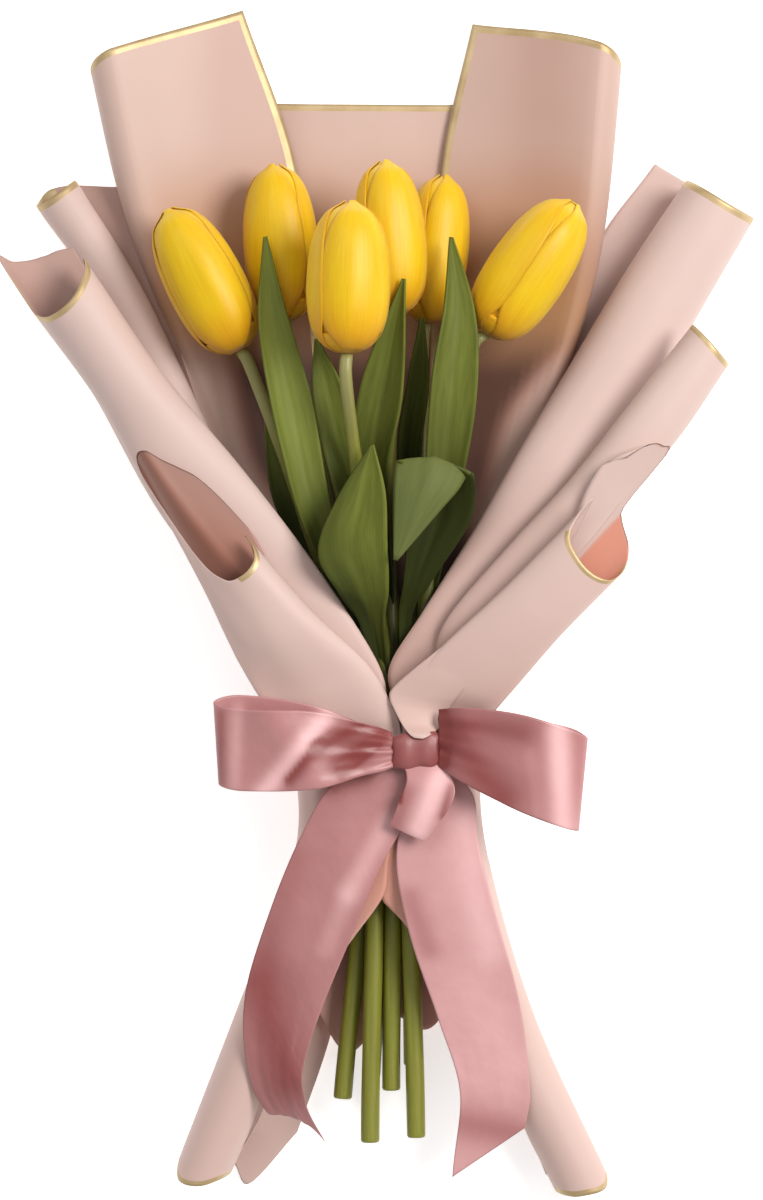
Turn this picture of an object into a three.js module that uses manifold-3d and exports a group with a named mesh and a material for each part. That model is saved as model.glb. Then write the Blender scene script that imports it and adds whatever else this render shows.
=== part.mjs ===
// A hand-tied bunch of six yellow tulips in gold-edged blush paper, laid on its back.
// Millimetres. +X is to the right and +Y towards the flowers, seen from above. +Z is up.
// The ribbon sits at TIE_Y. Wings of rolled paper fan out above it and skirts flare below it.
import * as THREE from 'three';
import { mergeVertices } from 'three/addons/utils/BufferGeometryUtils.js';
import Module from 'manifold-3d';

const wasm = await Module();
wasm.setup();

// Moves the part so that the middle of its box stands on the origin.
const CENTRE_ON_ORIGIN = [2.3, 0.16, 0];

// Thickness of each thin thing, with the gap left where two of them meet.
const PAPER = 0.8;
const RIBBON = 0.8;
const LEAF = 1.0;
const PETAL = 1.3;
const SEAT = 0.3;

// Height of the ribbon band along the bunch, and the section that it draws tight.
const TIE_Y = -62;
const TIE_X = 3;
const TIE_Z = 29.3;

const BLOOM_HEIGHT = 63;
const STEM_RADIUS_LOW = 4.0;
const STEM_RADIUS_NECK = 2.7;

const material = (color, roughness) => new THREE.MeshStandardMaterial({ color, roughness, metalness: 0 });
const BLUSH = material(0xe9cabf, 0.6);
const ROSE = material(0xc48487, 0.4);
const YELLOW = material(0xf2c714, 0.5);
const GREEN = material(0x6f8a3a, 0.55);
const TWINE = material(0xd9c9a0, 0.8);

const vec = (p) => new THREE.Vector3(p[0], p[1], p[2]);
const mix = THREE.MathUtils.lerp;
const rad = THREE.MathUtils.degToRad;
const splineOf = (rows) => new THREE.CatmullRomCurve3(rows.map(vec), false, 'catmullrom', 0.5);

// A smooth curve through [x, value] pairs, flat beyond both ends.
function table(pairs) {
  const slope = (i) => {
    const a = pairs[Math.max(i - 1, 0)];
    const b = pairs[Math.min(i + 1, pairs.length - 1)];
    return (b[1] - a[1]) / (b[0] - a[0]);
  };
  return (x) => {
    if (x <= pairs[0][0]) return pairs[0][1];
    const last = pairs.length - 1;
    if (x >= pairs[last][0]) return pairs[last][1];
    const i = pairs.findIndex((p) => p[0] > x) - 1;
    const [x0, y0] = pairs[i];
    const [x1, y1] = pairs[i + 1];
    const w = x1 - x0;
    const t = (x - x0) / w;
    const t2 = t * t;
    const t3 = t2 * t;
    return (
      (2 * t3 - 3 * t2 + 1) * y0 + (t3 - 2 * t2 + t) * w * slope(i) +
      (3 * t2 - 2 * t3) * y1 + (t3 - t2) * w * slope(i + 1)
    );
  };
}

function geometryOf(points, faces) {
  const g = new THREE.BufferGeometry();
  g.setAttribute('position', new THREE.Float32BufferAttribute(points.flatMap((p) => [p.x, p.y, p.z]), 3));
  g.setIndex(faces.flat());
  return g;
}

// A closed plate of even thickness on a grid of points, grid[row][column].
function plate(grid, thickness) {
  const rows = grid.length;
  const cols = grid[0].length;
  const at = (i, j) => grid[Math.min(Math.max(i, 0), rows - 1)][Math.min(Math.max(j, 0), cols - 1)];
  const points = [[], []];
  grid.forEach((line, i) => line.forEach((p, j) => {
    const along = at(i + 1, j).clone().sub(at(i - 1, j));
    const across = at(i, j + 1).clone().sub(at(i, j - 1));
    const normal = along.cross(across).normalize().multiplyScalar(thickness / 2);
    points[0].push(p.clone().add(normal));
    points[1].push(p.clone().sub(normal));
  }));
  const half = rows * cols;
  const top = (i, j) => i * cols + j;
  const low = (i, j) => half + i * cols + j;
  const faces = [];
  const quad = (a, b, c, d) => faces.push([a, b, c], [a, c, d]);
  for (let i = 0; i + 1 < rows; i++) {
    for (let j = 0; j + 1 < cols; j++) {
      quad(top(i, j), top(i + 1, j), top(i + 1, j + 1), top(i, j + 1));
      faces.push([low(i, j), low(i + 1, j + 1), low(i + 1, j)], [low(i, j), low(i, j + 1), low(i + 1, j + 1)]);
    }
    quad(top(i + 1, 0), top(i, 0), low(i, 0), low(i + 1, 0));
    quad(top(i, cols - 1), top(i + 1, cols - 1), low(i + 1, cols - 1), low(i, cols - 1));
  }
  for (let j = 0; j + 1 < cols; j++) {
    quad(top(0, j), top(0, j + 1), low(0, j + 1), low(0, j));
    quad(top(rows - 1, j + 1), top(rows - 1, j), low(rows - 1, j), low(rows - 1, j + 1));
  }
  return geometryOf([...points[0], ...points[1]], faces);
}

// A round rod along a curve, closed at both ends.
function rod(curve, radiusAt, sides, steps) {
  const points = [];
  const faces = [];
  const frames = curve.computeFrenetFrames(steps, false);
  for (let i = 0; i <= steps; i++) {
    const centre = curve.getPointAt(i / steps);
    for (let k = 0; k < sides; k++) {
      const angle = (2 * Math.PI * k) / sides;
      points.push(centre.clone()
        .addScaledVector(frames.normals[i], Math.cos(angle) * radiusAt(i / steps))
        .addScaledVector(frames.binormals[i], Math.sin(angle) * radiusAt(i / steps)));
    }
  }
  const at = (i, k) => i * sides + (k % sides);
  for (let i = 0; i < steps; i++) {
    for (let k = 0; k < sides; k++) {
      faces.push([at(i, k), at(i, k + 1), at(i + 1, k + 1)], [at(i, k), at(i + 1, k + 1), at(i + 1, k)]);
    }
  }
  points.push(curve.getPointAt(0), curve.getPointAt(1));
  const [foot, head] = [points.length - 2, points.length - 1];
  for (let k = 0; k < sides; k++) {
    faces.push([foot, at(0, k + 1), at(0, k)], [head, at(steps, k), at(steps, k + 1)]);
  }
  return geometryOf(points, faces);
}

function solidOf(geometry) {
  const bare = geometry.clone();
  bare.deleteAttribute('normal');
  bare.deleteAttribute('uv');
  const merged = mergeVertices(bare, 1e-3);
  const made = (triVerts) => new wasm.Manifold(new wasm.Mesh({
    numProp: 3, vertProperties: merged.attributes.position.array, triVerts,
  }));
  const solid = made(new Uint32Array(merged.index.array));
  if (solid.volume() > 0) return solid;
  return made(new Uint32Array(merged.index.array).reverse());
}

function geometryFrom(solid) {
  const mesh = solid.getMesh();
  const g = new THREE.BufferGeometry();
  g.setAttribute('position', new THREE.Float32BufferAttribute(mesh.vertProperties, 3));
  g.setIndex([...mesh.triVerts]);
  return g;
}

const SMOOTHED = 0.08;
const fuse = (geometries) => geometryFrom(geometries.map(solidOf).reduce((a, b) => a.add(b)).simplify(SMOOTHED));

const bunch = new THREE.Group();
function add(name, geometry, look) {
  const mesh = new THREE.Mesh(geometryFrom(solidOf(geometry)), look);
  mesh.name = name;
  bunch.add(mesh);
}

// Six tulips. foot is where the stem passes the tie, end its cut end, neck where the bloom starts,
// top the tip of the bloom, and girth the bloom's largest radius.
const TULIPS = [
  { end: [-5, -235, 29], foot: [-5, TIE_Y, 31], bend: [-33, 35, 38], neck: [-61, 108, 40], top: [-92, 168, 44],
    girth: 16.5, turn: 20 },
  { end: [-17, -217, 20], foot: [-5, TIE_Y, 22.2], bend: [-24, 45, 23], neck: [-41, 122, 26], top: [-46.5, 189,
    28],
    girth: 16, turn: 50 },
  { end: [4.2, -213, 22.5], foot: [3.8, TIE_Y, 31], bend: [-10, 50, 50], neck: [-14.7, 105, 73], top: [-13,
    169, 75],
    girth: 17.5, turn: 0 },
  { end: [-4.5, -208, 14], foot: [4, TIE_Y, 22], bend: [3, 50, 27], neck: [5.8, 123, 44], top: [1.2, 189, 46],
    girth: 15.4, turn: 35 },
  { end: [13.5, -203, 15], foot: [12.9, TIE_Y, 22.2], bend: [17, 45, 19], neck: [19.5, 121, 19], top: [27.3,
    185, 20.5],
    girth: 14.3, turn: 10 },
  { end: [15, -233, 28], foot: [12.6, TIE_Y, 31], bend: [27, 45, 37], neck: [45, 115, 40], top: [83, 171, 44],
    girth: 17, turn: 40 },
];

// Leaf paths: from is the way up the stem where the leaf leaves it, then points [x, y, z] out to the tip. half is the
// half width at each of them, and across the direction of that width.
const LEAVES = [
  { tulip: 0, from: 0.6, across: [1, 0.25, -0.2], arch: 0.35,
    path: [[-23, 20, 41.5], [-31, 46, 48], [-39, 84, 52], [-47, 121, 51.5], [-50, 156, 48]],
    half: [2.6, 6.5, 8.5, 10, 7, 0.8] },
  { tulip: 0, from: 0.62, across: [1, 0.45, 0.2], arch: 0.35,
    path: [[-33, 26, 32.5], [-42, 50, 35], [-50, 78, 36]], half: [2.6, 5.5, 7, 0.8] },
  { tulip: 2, from: 0.6, across: [1, 0.2, 0.1], arch: 0.3,
    path: [[-13, 48, 44], [-22, 86, 48], [-28, 112, 50]], half: [2.6, 8, 8, 0.8] },
  { tulip: 3, from: 0.6, across: [1, -0.12, 0.35], arch: 0.35,
    path: [[-4, 50, 37], [1, 90, 48], [9.5, 137, 61.5]], half: [2.4, 8.5, 11, 0.8] },
  { tulip: 4, from: 0.68, across: [1, -0.1, 0], arch: 0.3,
    path: [[12, 62, 28], [16, 95, 33], [17.5, 122, 37]], half: [2.4, 5.5, 5, 0.8] },
  { tulip: 5, from: 0.62, across: [1, -0.1, -0.15], arch: 0.35,
    path: [[27, 58, 45], [31, 96, 50], [33, 125, 50], [30, 156, 45]], half: [2.6, 9.5, 11, 7.5, 0.8] },
  { tulip: 2, from: 0.5, across: [1, 0.15, 0.1], arch: 0.3,
    path: [[-3.4, -12, 42.5], [-7.2, 5, 50], [-12, 24, 57], [-8.5, 45, 62], [-4, 66, 65]],
      half: [2.4, 5.5, 11.5, 16.3, 11.5, 0.8] },
  { tulip: 5, from: 0.5, across: [1, -0.15, 0], arch: 0.25,
    path: [[10, -10, 39], [15.5, 9, 46], [25, 38, 52], [23, 60, 59], [18, 47, 66], [6, 17, 64]],
    half: [2.6, 2.8, 6.5, 15, 17, 14, 0.8] },
];

const bloomRadius = table([[0, 0.26], [0.05, 0.6], [0.17, 0.88], [0.38, 1], [0.62, 0.97], [0.8, 0.83],
  [0.92, 0.6],
  [1, 0.3]]);
const petalHalfAngle = table([[0, 30], [0.2, 50], [0.5, 53], [0.75, 47], [0.9, 38], [1, 14]]);
const PETAL_CUP = 0.05;
const BUD_INSET = 1.9;
const BUD_LOBE = 0.7;
const FOOT_TOP = 0.1;
const FOOT_INSET = 0.2;

// One outer petal: a patch of the bloom's surface whose edges lift a little off it.
function petal(height, girth, middleDeg) {
  const grid = [];
  const [alongSteps, acrossSteps] = [6, 4];
  for (let i = 0; i <= alongSteps; i++) {
    const v = i / alongSteps;
    const line = [];
    for (let j = 0; j <= acrossSteps; j++) {
      const u = (2 * j) / acrossSteps - 1;
      const angle = rad(middleDeg + u * petalHalfAngle(v));
      const r = girth * bloomRadius(v) * (1 + PETAL_CUP * u * u);
      line.push(new THREE.Vector3(r * Math.cos(angle), r * Math.sin(angle), v * height));
    }
    grid.push(line);
  }
  return plate(grid, PETAL);
}

// The three inner petals as one closed bud, which stands out between the outer petals. Its foot takes their feet.
function bud(height, girth, turnDeg) {
  const levels = [0, 0.05, FOOT_TOP, 0.25, 0.45, 0.65, 0.82, 0.94];
  const sides = 12;
  const points = [];
  levels.forEach((v) => {
    for (let k = 0; k < sides; k++) {
      const angle = (2 * Math.PI * k) / sides;
      const lobe = Math.cos(3 * angle);
      const inset = v <= FOOT_TOP ? FOOT_INSET : BUD_INSET + BUD_LOBE * lobe;
      const r = girth * bloomRadius(v) - inset;
      const z = height * v * (1 - 0.03 * v * (1 + lobe));
      points.push(new THREE.Vector3(r * Math.cos(angle + rad(turnDeg)), r * Math.sin(angle + rad(turnDeg)), z));
    }
  });
  points.push(new THREE.Vector3(0, 0, 0), new THREE.Vector3(0, 0, 0.93 * height));
  const faces = [];
  const at = (i, k) => i * sides + (k % sides);
  const top = levels.length - 1;
  for (let k = 0; k < sides; k++) {
    for (let i = 0; i < top; i++) {
      faces.push([at(i, k), at(i, k + 1), at(i + 1, k + 1)], [at(i, k), at(i + 1, k + 1), at(i + 1, k)]);
    }
    faces.push([points.length - 2, at(0, k + 1), at(0, k)], [points.length - 1, at(top, k), at(top, k + 1)]);
  }
  return geometryOf(points, faces);
}

function bloom(tulip) {
  const axis = vec(tulip.top).sub(vec(tulip.neck));
  const height = axis.length();
  const petals = [0, 120, 240].map((angle) => petal(height, tulip.girth, tulip.turn + angle));
  const turn = new THREE.Quaternion().setFromUnitVectors(new THREE.Vector3(0, 0, 1), axis.normalize());
  const place = new THREE.Matrix4().compose(vec(tulip.neck), turn, new THREE.Vector3(1, 1, 1));
  return fuse([bud(height, tulip.girth, tulip.turn), ...petals]).applyMatrix4(place);
}

function stemCurve(tulip) {
  const axis = vec(tulip.top).sub(vec(tulip.neck)).normalize();
  const head = vec(tulip.neck).addScaledVector(axis, -SEAT - 0.2);
  const approach = head.clone().addScaledVector(axis, -12);
  return new THREE.CatmullRomCurve3(
    [vec(tulip.end), vec(tulip.foot), vec(tulip.bend), approach, head], false, 'catmullrom', 0.5,
  );
}

function leafBlade(leaf) {
  const root = stemCurve(TULIPS[leaf.tulip]).getPointAt(leaf.from);
  const path = new THREE.CatmullRomCurve3([root, ...leaf.path.map(vec)], false, 'catmullrom', 0.5);
  const last = leaf.path.length;
  const halfAt = table(leaf.half.map((h, i) => [i / last, h]));
  const grid = [];
  const steps = 10;
  for (let i = 0; i <= steps; i++) {
    const t = i / steps;
    const centre = path.getPoint(t);
    const across = vec(leaf.across).normalize();
    const up = across.clone().cross(path.getTangent(t)).normalize();
    const half = halfAt(t);
    grid.push([-1, 0, 1].map((u) => centre.clone()
      .addScaledVector(across, u * half * (1 - 0.3 * leaf.arch))
      .addScaledVector(up, leaf.arch * half * u * u)));
  }
  return plate(grid, LEAF);
}

TULIPS.forEach((tulip, i) => {
  const neckRadius = (t) => mix(STEM_RADIUS_LOW, STEM_RADIUS_NECK, THREE.MathUtils.smoothstep(t, 0.45, 0.95));
  const stem = rod(stemCurve(tulip), neckRadius, 8, 14);
  const leaves = LEAVES.filter((leaf) => leaf.tulip === i).map(leafBlade);
  add(`stem_${i + 1}`, leaves.length ? fuse([stem, ...leaves]) : stem, GREEN);
  add(`bloom_${i + 1}`, bloom(tulip), YELLOW);
});

// Rolled sheets, from the tie outwards. Each row gives the roll's edge that faces the stems [x, y, z], its outer
// edge [x, y, z] and its half height. The section starts at the lip, in degrees from the stems' side, runs over the
// front (90) and the outside (180) to the back (270) and ends in a flap that reaches in under the stems.
// front is a flap of the same kind before the lip. rim lists how far the far end stands out past the last row: by
// angle, and from 270 on by the way along the flap, which ends at 360.
const ROLLS = {
  wing_left_inner: { lip: [[0, -60], [1, -75]], rim: [[-75, 0], [90, 0], [200, 4], [270, 5], [360, -14]],
    flap: [[0, 1], [0.5, 2], [0.83, 5], [1, 18]],
    rows: [[[-7, -62, 41.8], [-15.4, -62, 41.8], 2.2], [[-10.4, -48, 41], [-18.5, -50, 41], 1.7],
      [[-19, -26, 37.4], [-33, -40, 37.4], 1.7], [[-36, 12, 31], [-52, -3, 31], 5],
      [[-63.5, 52, 25.5], [-81, 39, 25.5], 6.3], [[-103, 134, 17.5], [-117, 122.5, 17.5], 7.5],
      [[-133.3, 184.2, 11.6], [-149.1, 169.6, 11.6], 10.5]] },
  wing_left_middle: { lip: [[0, -60], [1, -70]], rim: [[-70, 4], [-40, 2], [0, 1], [45, -5], [90, -9],
    [135, -7], [165, -2], [180, 2], [197, 29], [225, 24], [270, 17], [315, 14], [360, 10]], flap: [[0, 1],
    [0.7, 4], [1, 14]],
    rows: [[[2.2, -62, 42.2], [-6.2, -62, 42.2], 2.2], [[2.4, -48, 43], [-6.6, -50, 43], 2],
      [[-1, -27, 44.4], [-19, -38, 44.8], 2], [[-27, 14, 43.5], [-60, -2, 43.5], 5], [[-58, 55, 44.5],
        [-92, 32, 44.5], 7.5],
      [[-94, 98, 43.5], [-120, 82, 43.5], 11.5], [[-127, 147, 38.5], [-150, 124, 38.5], 16]] },
  wing_left_outer: { lip: [[0, -60], [1, -50]], rim: [[-50, 3], [0, -4], [50, -18], [90, -31], [120, -39],
    [140, -38], [155, -28], [168, -12], [180, 2],
      [200, 12], [225, 24], [253, 33], [270, 32], [300, 30], [325, 29], [345, 21], [360, 10]],
    flap: [[0, 4], [0.3, 10], [0.8, 18], [1, 33]],
    rows: [[[9.2, -62, 47.6], [-22, -62, 46.9], 1.5], [[9, -56, 48], [-27, -56, 47.2], 1.6], [[7.4, -48, 50],
      [-44, -48, 49], 2.4],
      [[-3.5, -28, 54], [-61, -27, 52], 4.5], [[-29, -4, 59], [-75.5, 3.5, 58], 6.5],
      [[-54.8, 24.2, 63], [-97, 44, 62], 8]] },
  wing_right_inner: { lip: [[0, -60], [1, -80]], rim: [[-80, 0], [90, 0], [180, 3], [270, 2], [360, 0]],
    flap: [[0, 1], [0.5, 2], [0.625, 5], [0.75, 16], [0.875, 34], [1, 32]],
    rows: [[[8.6, -62, 41.8], [17, -62, 41.8], 2.2], [[6.5, -48, 42], [17, -50, 42], 2.4],
      [[2.5, -29, 42], [18, -43, 42], 2.4], [[17, -4, 42], [37, -22, 42], 3.4], [[41, 35, 33], [65, 13, 33], 8],
      [[58.7, 66, 29], [87, 44, 29], 10], [[78.5, 99, 18.5], [111.5, 77, 18.5], 15.5],
      [[105, 143, 17.5], [136, 121, 17.5], 16.2], [[132.2, 183.5, 17.8], [160.8, 163.7, 17.8], 17]] },
  wing_right_middle: { lip: [[0, -60], [1, -70]], rim: [[-70, 0], [90, 0], [180, 2], [270, 3], [360, 3]],
    flap: [[0, 1], [1, 4]],
    rows: [[[18.2, -62, 42.2], [26.6, -62, 42.2], 2.2], [[20.3, -50, 42.9], [29, -52, 42.9], 1.8],
      [[22.5, -27, 46.8], [34, -42, 46.8], 1.8], [[28, -7, 50], [48, -29, 50], 3], [[54, 24, 49], [76, 4, 49], 6],
      [[81, 53, 46], [100.5, 37.5, 46], 8.5], [[107, 86, 45], [128, 70.5, 45], 10.5],
      [[133.5, 119, 43], [149, 101, 43], 11.5]] },
  wing_right_outer: { lip: [[0, -60], [1, -50]], rim: [[-50, 1], [0, 0], [45, -5], [78, -8.5], [114, -9],
    [155, -5], [180, 0], [231, 11], [270, 17],
      [303, 23], [316, 52], [336, 47], [351, 36], [360, 24]],
    flap: [[0, 4], [0.3, 10], [0.8, 17], [1, 24.5]],
    rows: [[[12, -62, 47.6], [29, -62, 46.9], 1.5], [[12, -56, 48], [33, -56, 47.4], 1.6], [[12, -47, 50.5],
      [46, -50, 49.5], 2.4],
      [[21, -27, 57], [54, -42, 55.5], 4], [[50, 3, 63], [77, -15, 63], 6.5],
      [[79.9, 34.3, 66.5], [101.9, 11, 66.5], 8]] },
  skirt_left: { lip: [[0, 90], [0.6, 90], [0.84, 55], [1, -30]], rim: [[-30, 5], [60, 6], [90, 5], [135, -1],
    [180, -12], [225, -8], [270, 0], [300, 3], [330, 18], [360, -2]],
    front: [[0, 18.4], [0.25, 18.6], [0.5, 20.4], [0.575, 24.5], [0.65, 23.5], [0.75, 21.5], [0.84, 8],
      [1, 0.2]], flap: [[0, 2], [0.5, 12], [0.75, 28], [0.85, 38], [1, 42]],
    rows: [[[1.5, -64, 29.1], [-35.5, -64, 29.1], 19.4], [[1.4, -76, 29], [-36, -76, 29], 19.3],
      [[0, -112, 27.5], [-38, -112, 27.5], 18.5], [[-29, -170, 22], [-64, -181, 22], 17],
      [[-62.7, -244, 17.8], [-92.5, -254, 17.8], 16]] },
  skirt_right: { lip: [[0, 90], [0.6, 90], [0.84, 55], [1, -30]], rim: [[-30, 7], [60, 10], [90, 9], [135, 6],
    [180, -1], [225, 0], [270, 2], [360, 3]],
    front: [[0, 18], [0.25, 18.4], [0.5, 21.2], [0.58, 26], [0.64, 24.5], [0.7, 18], [0.78, 6], [0.84, 1],
      [1, 0.2]], flap: [[0, 2], [0.5, 8], [1, 14]],
    rows: [[[4.6, -64, 29.1], [41.5, -64, 29.1], 19.4], [[4.6, -76, 29], [42, -76, 29], 19.3],
      [[7, -112, 27.5], [46.5, -112, 27.5], 18.5], [[33, -173, 20], [67, -181, 20], 16],
      [[71.5, -250, 13.7], [98.5, -251, 13.7], 13]] },
};
const INWARD_CURL = 0.12;
const UP = new THREE.Vector3(0, 0, 1);

// Points of a roll's sheet: rows along the bunch, columns over the front flap, round the section and along the flap.
function rollGrid(roll, alongSteps, frontSteps, roundSteps, flapSteps) {
  const inner = splineOf(roll.rows.map((row) => row[0]));
  const outer = splineOf(roll.rows.map((row) => row[1]));
  const last = roll.rows.length - 1;
  const halfHeight = table(roll.rows.map((row, i) => [i / last, row[2]]));
  const rimAt = table(roll.rim);
  const flapAt = table(roll.flap);
  const lipAt = table(roll.lip);
  const frontAt = roll.front ? table(roll.front) : () => 0;
  const before = roll.front ? frontSteps : 0;
  const grid = [];
  for (let i = 0; i <= alongSteps; i++) {
    const t = i / alongSteps;
    const centre = inner.getPoint(t).lerp(outer.getPoint(t), 0.5);
    const half = inner.getPoint(t).sub(outer.getPoint(t)).multiplyScalar(0.5);
    const inward = half.clone().normalize();
    const along = inner.getTangent(t).add(outer.getTangent(t)).normalize();
    const lip = lipAt(t);
    const line = [];
    for (let j = -before; j <= roundSteps + flapSteps; j++) {
      const angle = mix(lip, 270, THREE.MathUtils.clamp(j / roundSteps, 0, 1));
      const curl = 1 - INWARD_CURL * Math.max(0, (60 - angle) / 120);
      const onFlap = Math.max(0, (j - roundSteps) / flapSteps);
      const reach = flapAt(t) * onFlap + (before ? frontAt(t) * Math.max(0, -j / before) : 0);
      line.push(centre.clone()
        .addScaledVector(half, curl * Math.cos(rad(angle)))
        .addScaledVector(inward, reach)
        .addScaledVector(UP, halfHeight(t) * curl * Math.sin(rad(angle)))
        .addScaledVector(along, rimAt(angle + 90 * onFlap) * t ** 3));
    }
    grid.push(line);
  }
  return grid;
}

Object.entries(ROLLS).forEach(([name, roll]) => add(name, plate(rollGrid(roll, roll.front ? 12 : 9, 1, 10,
  roll.front ? 3 : 2), PAPER), BLUSH));

// The back sheet: flat on the surface in the middle, rolled up at both sides, with its two flaps folded in over it.
// Each table runs along Y.
const BACK_LEFT_X = table([[-62, -24], [-26, -40], [69, -75], [108, -90], [171, -113], [240, -129]]);
const BACK_RIGHT_X = table([[-62, 32], [18, 54], [110, 85], [158, 97], [245, 106]]);
const REST_Z = PAPER / 2;
const BACK_FLOOR_Z = table([[-62, 15.6], [-26, 11], [20, 4], [60, REST_Z], [64, REST_Z]]);
const BACK_ROLL = table([[-62, 11.2], [20, 9], [60, 7], [120, 7.4], [170, 9.5], [245, 11]]);
const FLAP_LEFT_X = table([[-62, -13], [-26, -19], [20, -23], [53, -23], [187, -37], [259, -61]]);
const FLAP_RIGHT_X = table([[-62, 22], [-26, 25], [20, 23], [53, 20], [187, 26], [253, 40]]);
const FLAP_Z = table([[-62, 38], [-26, 30], [20, 12], [60, 4], [187, 3.2], [259, 3.2]]);
const BACK_TOP_Y = table([[0, 259], [0.22, 240], [0.36, 222], [0.5, 218], [0.64, 221], [0.78, 243], [1, 253]]);
const BACK_START_Y = TIE_Y;

function backPoint(u, v) {
  const y = mix(BACK_START_Y, BACK_TOP_Y(u), v);
  const r = BACK_ROLL(y);
  const floor = Math.max(BACK_FLOOR_Z(y), REST_Z);
  const [left, right] = [BACK_LEFT_X(y), BACK_RIGHT_X(y)];
  const flapEnd = 0.22;
  const rollEnd = 0.36;
  if (u > 1 - flapEnd) {
    const s = (1 - u) / flapEnd;
    return [mix(FLAP_RIGHT_X(y), right - r, s), y, mix(FLAP_Z(y), floor + 2 * r, s)];
  }
  if (u < flapEnd) {
    const s = u / flapEnd;
    return [mix(FLAP_LEFT_X(y), left + r, s), y, mix(FLAP_Z(y), floor + 2 * r, s)];
  }
  if (u < rollEnd || u > 1 - rollEnd) {
    const side = u < 0.5 ? -1 : 1;
    const s = ((u < 0.5 ? u : 1 - u) - flapEnd) / (rollEnd - flapEnd);
    const axis = side < 0 ? left + r : right - r;
    return [axis + side * r * Math.sin(Math.PI * s), y, floor + r + r * Math.cos(Math.PI * s)];
  }
  return [mix(left + r, right - r, (u - rollEnd) / (1 - 2 * rollEnd)), y, floor];
}

const BACK_COLUMNS = [0, 0.11, 0.22, 0.25, 0.285, 0.32, 0.36, 0.5, 0.64, 0.68, 0.715, 0.75, 0.78, 0.89, 1];
const backGrid = Array.from({ length: 11 }, (_, i) => BACK_COLUMNS.map((u) => vec(backPoint(u, i / 10))));
add('back_sheet', plate(backGrid, PAPER), BLUSH);

// The sheet behind the stems, below the tie, with a wavy lower edge.
const skirtBackGrid = Array.from({ length: 8 }, (_, i) => Array.from({ length: 9 }, (_, j) => {
  const v = i / 7;
  const u = j / 4 - 1;
  const reach = 118 + 10 * Math.cos(2.4 * u + 0.6) - 8 * Math.cos(6 * u);
  const y = -64 - v * reach;
  const halfWidth = mix(20, 36, v);
  return new THREE.Vector3(TIE_X + u * halfWidth, y, mix(12.9, 9, v) + 0.8 * v * Math.sin(5 * u));
}));
add('skirt_back', plate(skirtBackGrid, PAPER), BLUSH);

// Flat strips of ribbon. Each row of a path is [x, y, z, half width, and the way across it x, y, z].
const STRIPS = {
  bow_loop_left: { steps: 20, rows: [
    [4.6, -64, 57.6, 6, 0, 1, 0], [-8, -64, 64, 11, 0, 1, 0.1], [-32, -64, 69.5, 17, 0, 1, 0.1],
    [-60, -64, 67, 18, -0.04, 1, 0.1], [-70.5, -61, 61, 18, -0.06, 1, 0.1], [-60, -58, 57, 18, -0.04, 1, 0.12],
    [-32, -60, 55.6, 16, 0, 1, 0.14], [-8, -63, 53, 10, 0, 1, 0.05], [4.6, -64, 52.4, 6, 0, 1, 0]] },
  bow_loop_right: { steps: 20, rows: [
    [24.4, -65, 57.6, 6, 0, 1, 0], [36, -67, 65, 11, 0.1, 1, 0.1], [58, -72, 70, 17, 0.15, 1, 0.1],
    [80, -79, 66, 18.5, 0.12, 1, 0.1], [86, -80, 60, 18.5, 0.1, 1, 0.1], [78, -76, 55.5, 18.5, 0.12, 1, 0.1],
    [58, -71, 54.6, 16, 0.12, 1, 0.1], [36, -66, 53, 10, 0.1, 1, 0.05], [24.4, -65, 52.4, 6, 0, 1, 0]] },
  bow_tail_left: { steps: 18, rows: [
    [7, -74.4, 51.9, 8, 1, -0.1, 0], [-4.5, -85, 51.7, 18, 1, -0.3, 0], [-17.5, -108, 50.5, 18.5, 1, -0.35, 0.02],
    [-30, -138, 47.5, 18.5, 1, -0.28, 0.04], [-42, -172, 43.5, 17, 1, -0.18, 0.12],
    [-47, -200, 42.6, 13.5, 1, 0.05, 0.35], [-40, -220, 40, 9, 1, 0.4, 0.9], [-26, -234, 36, 2, 1, 0.2, 0.8]] },
  bow_tail_right: { steps: 18, rows: [
    [21, -74.4, 50.2, 6, 1, 0, 0], [24, -88, 50.2, 16, 1, 0.25, 0], [24, -110, 48.8, 18.5, 1, 0.35, 0],
    [31, -141, 46.6, 19, 1, 0.3, 0], [42, -177, 41.5, 18, 1, 0.2, -0.1], [49, -211, 37, 15.5, 1, 0.15, -0.2],
    [48, -236, 34.5, 15, 1, 0.3, -0.4]] },
  bow_fold: { steps: 12, rows: [
    [18, -73.95, 57.3, 7, 1, 0, 0], [20, -84, 60, 9.5, 1, -0.15, 0.1], [15.5, -95, 59.5, 10, 1, -0.35, 0.1],
    [11.2, -103.8, 57, 9.8, 1, -0.42, 0.1], [14.5, -95, 54.6, 9.5, 1, -0.35, 0.05], [18, -84, 54, 9, 1, -0.15, 0],
    [18, -73.95, 54.2, 6.5, 1, 0, 0]] },
};

function stripGrid(strip) {
  const path = splineOf(strip.rows);
  const ways = splineOf(strip.rows.map((row) => row.slice(4)));
  const last = strip.rows.length - 1;
  const halfAt = table(strip.rows.map((row, i) => [i / last, row[3]]));
  return Array.from({ length: strip.steps + 1 }, (_, i) => {
    const t = i / strip.steps;
    const across = ways.getPoint(t).normalize().multiplyScalar(halfAt(t));
    return [-1, -0.33, 0.33, 1].map((u) => path.getPoint(t).addScaledVector(across, u));
  });
}

Object.entries(STRIPS).forEach(([name, strip]) => add(name, plate(stripGrid(strip), RIBBON), ROSE));

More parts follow.
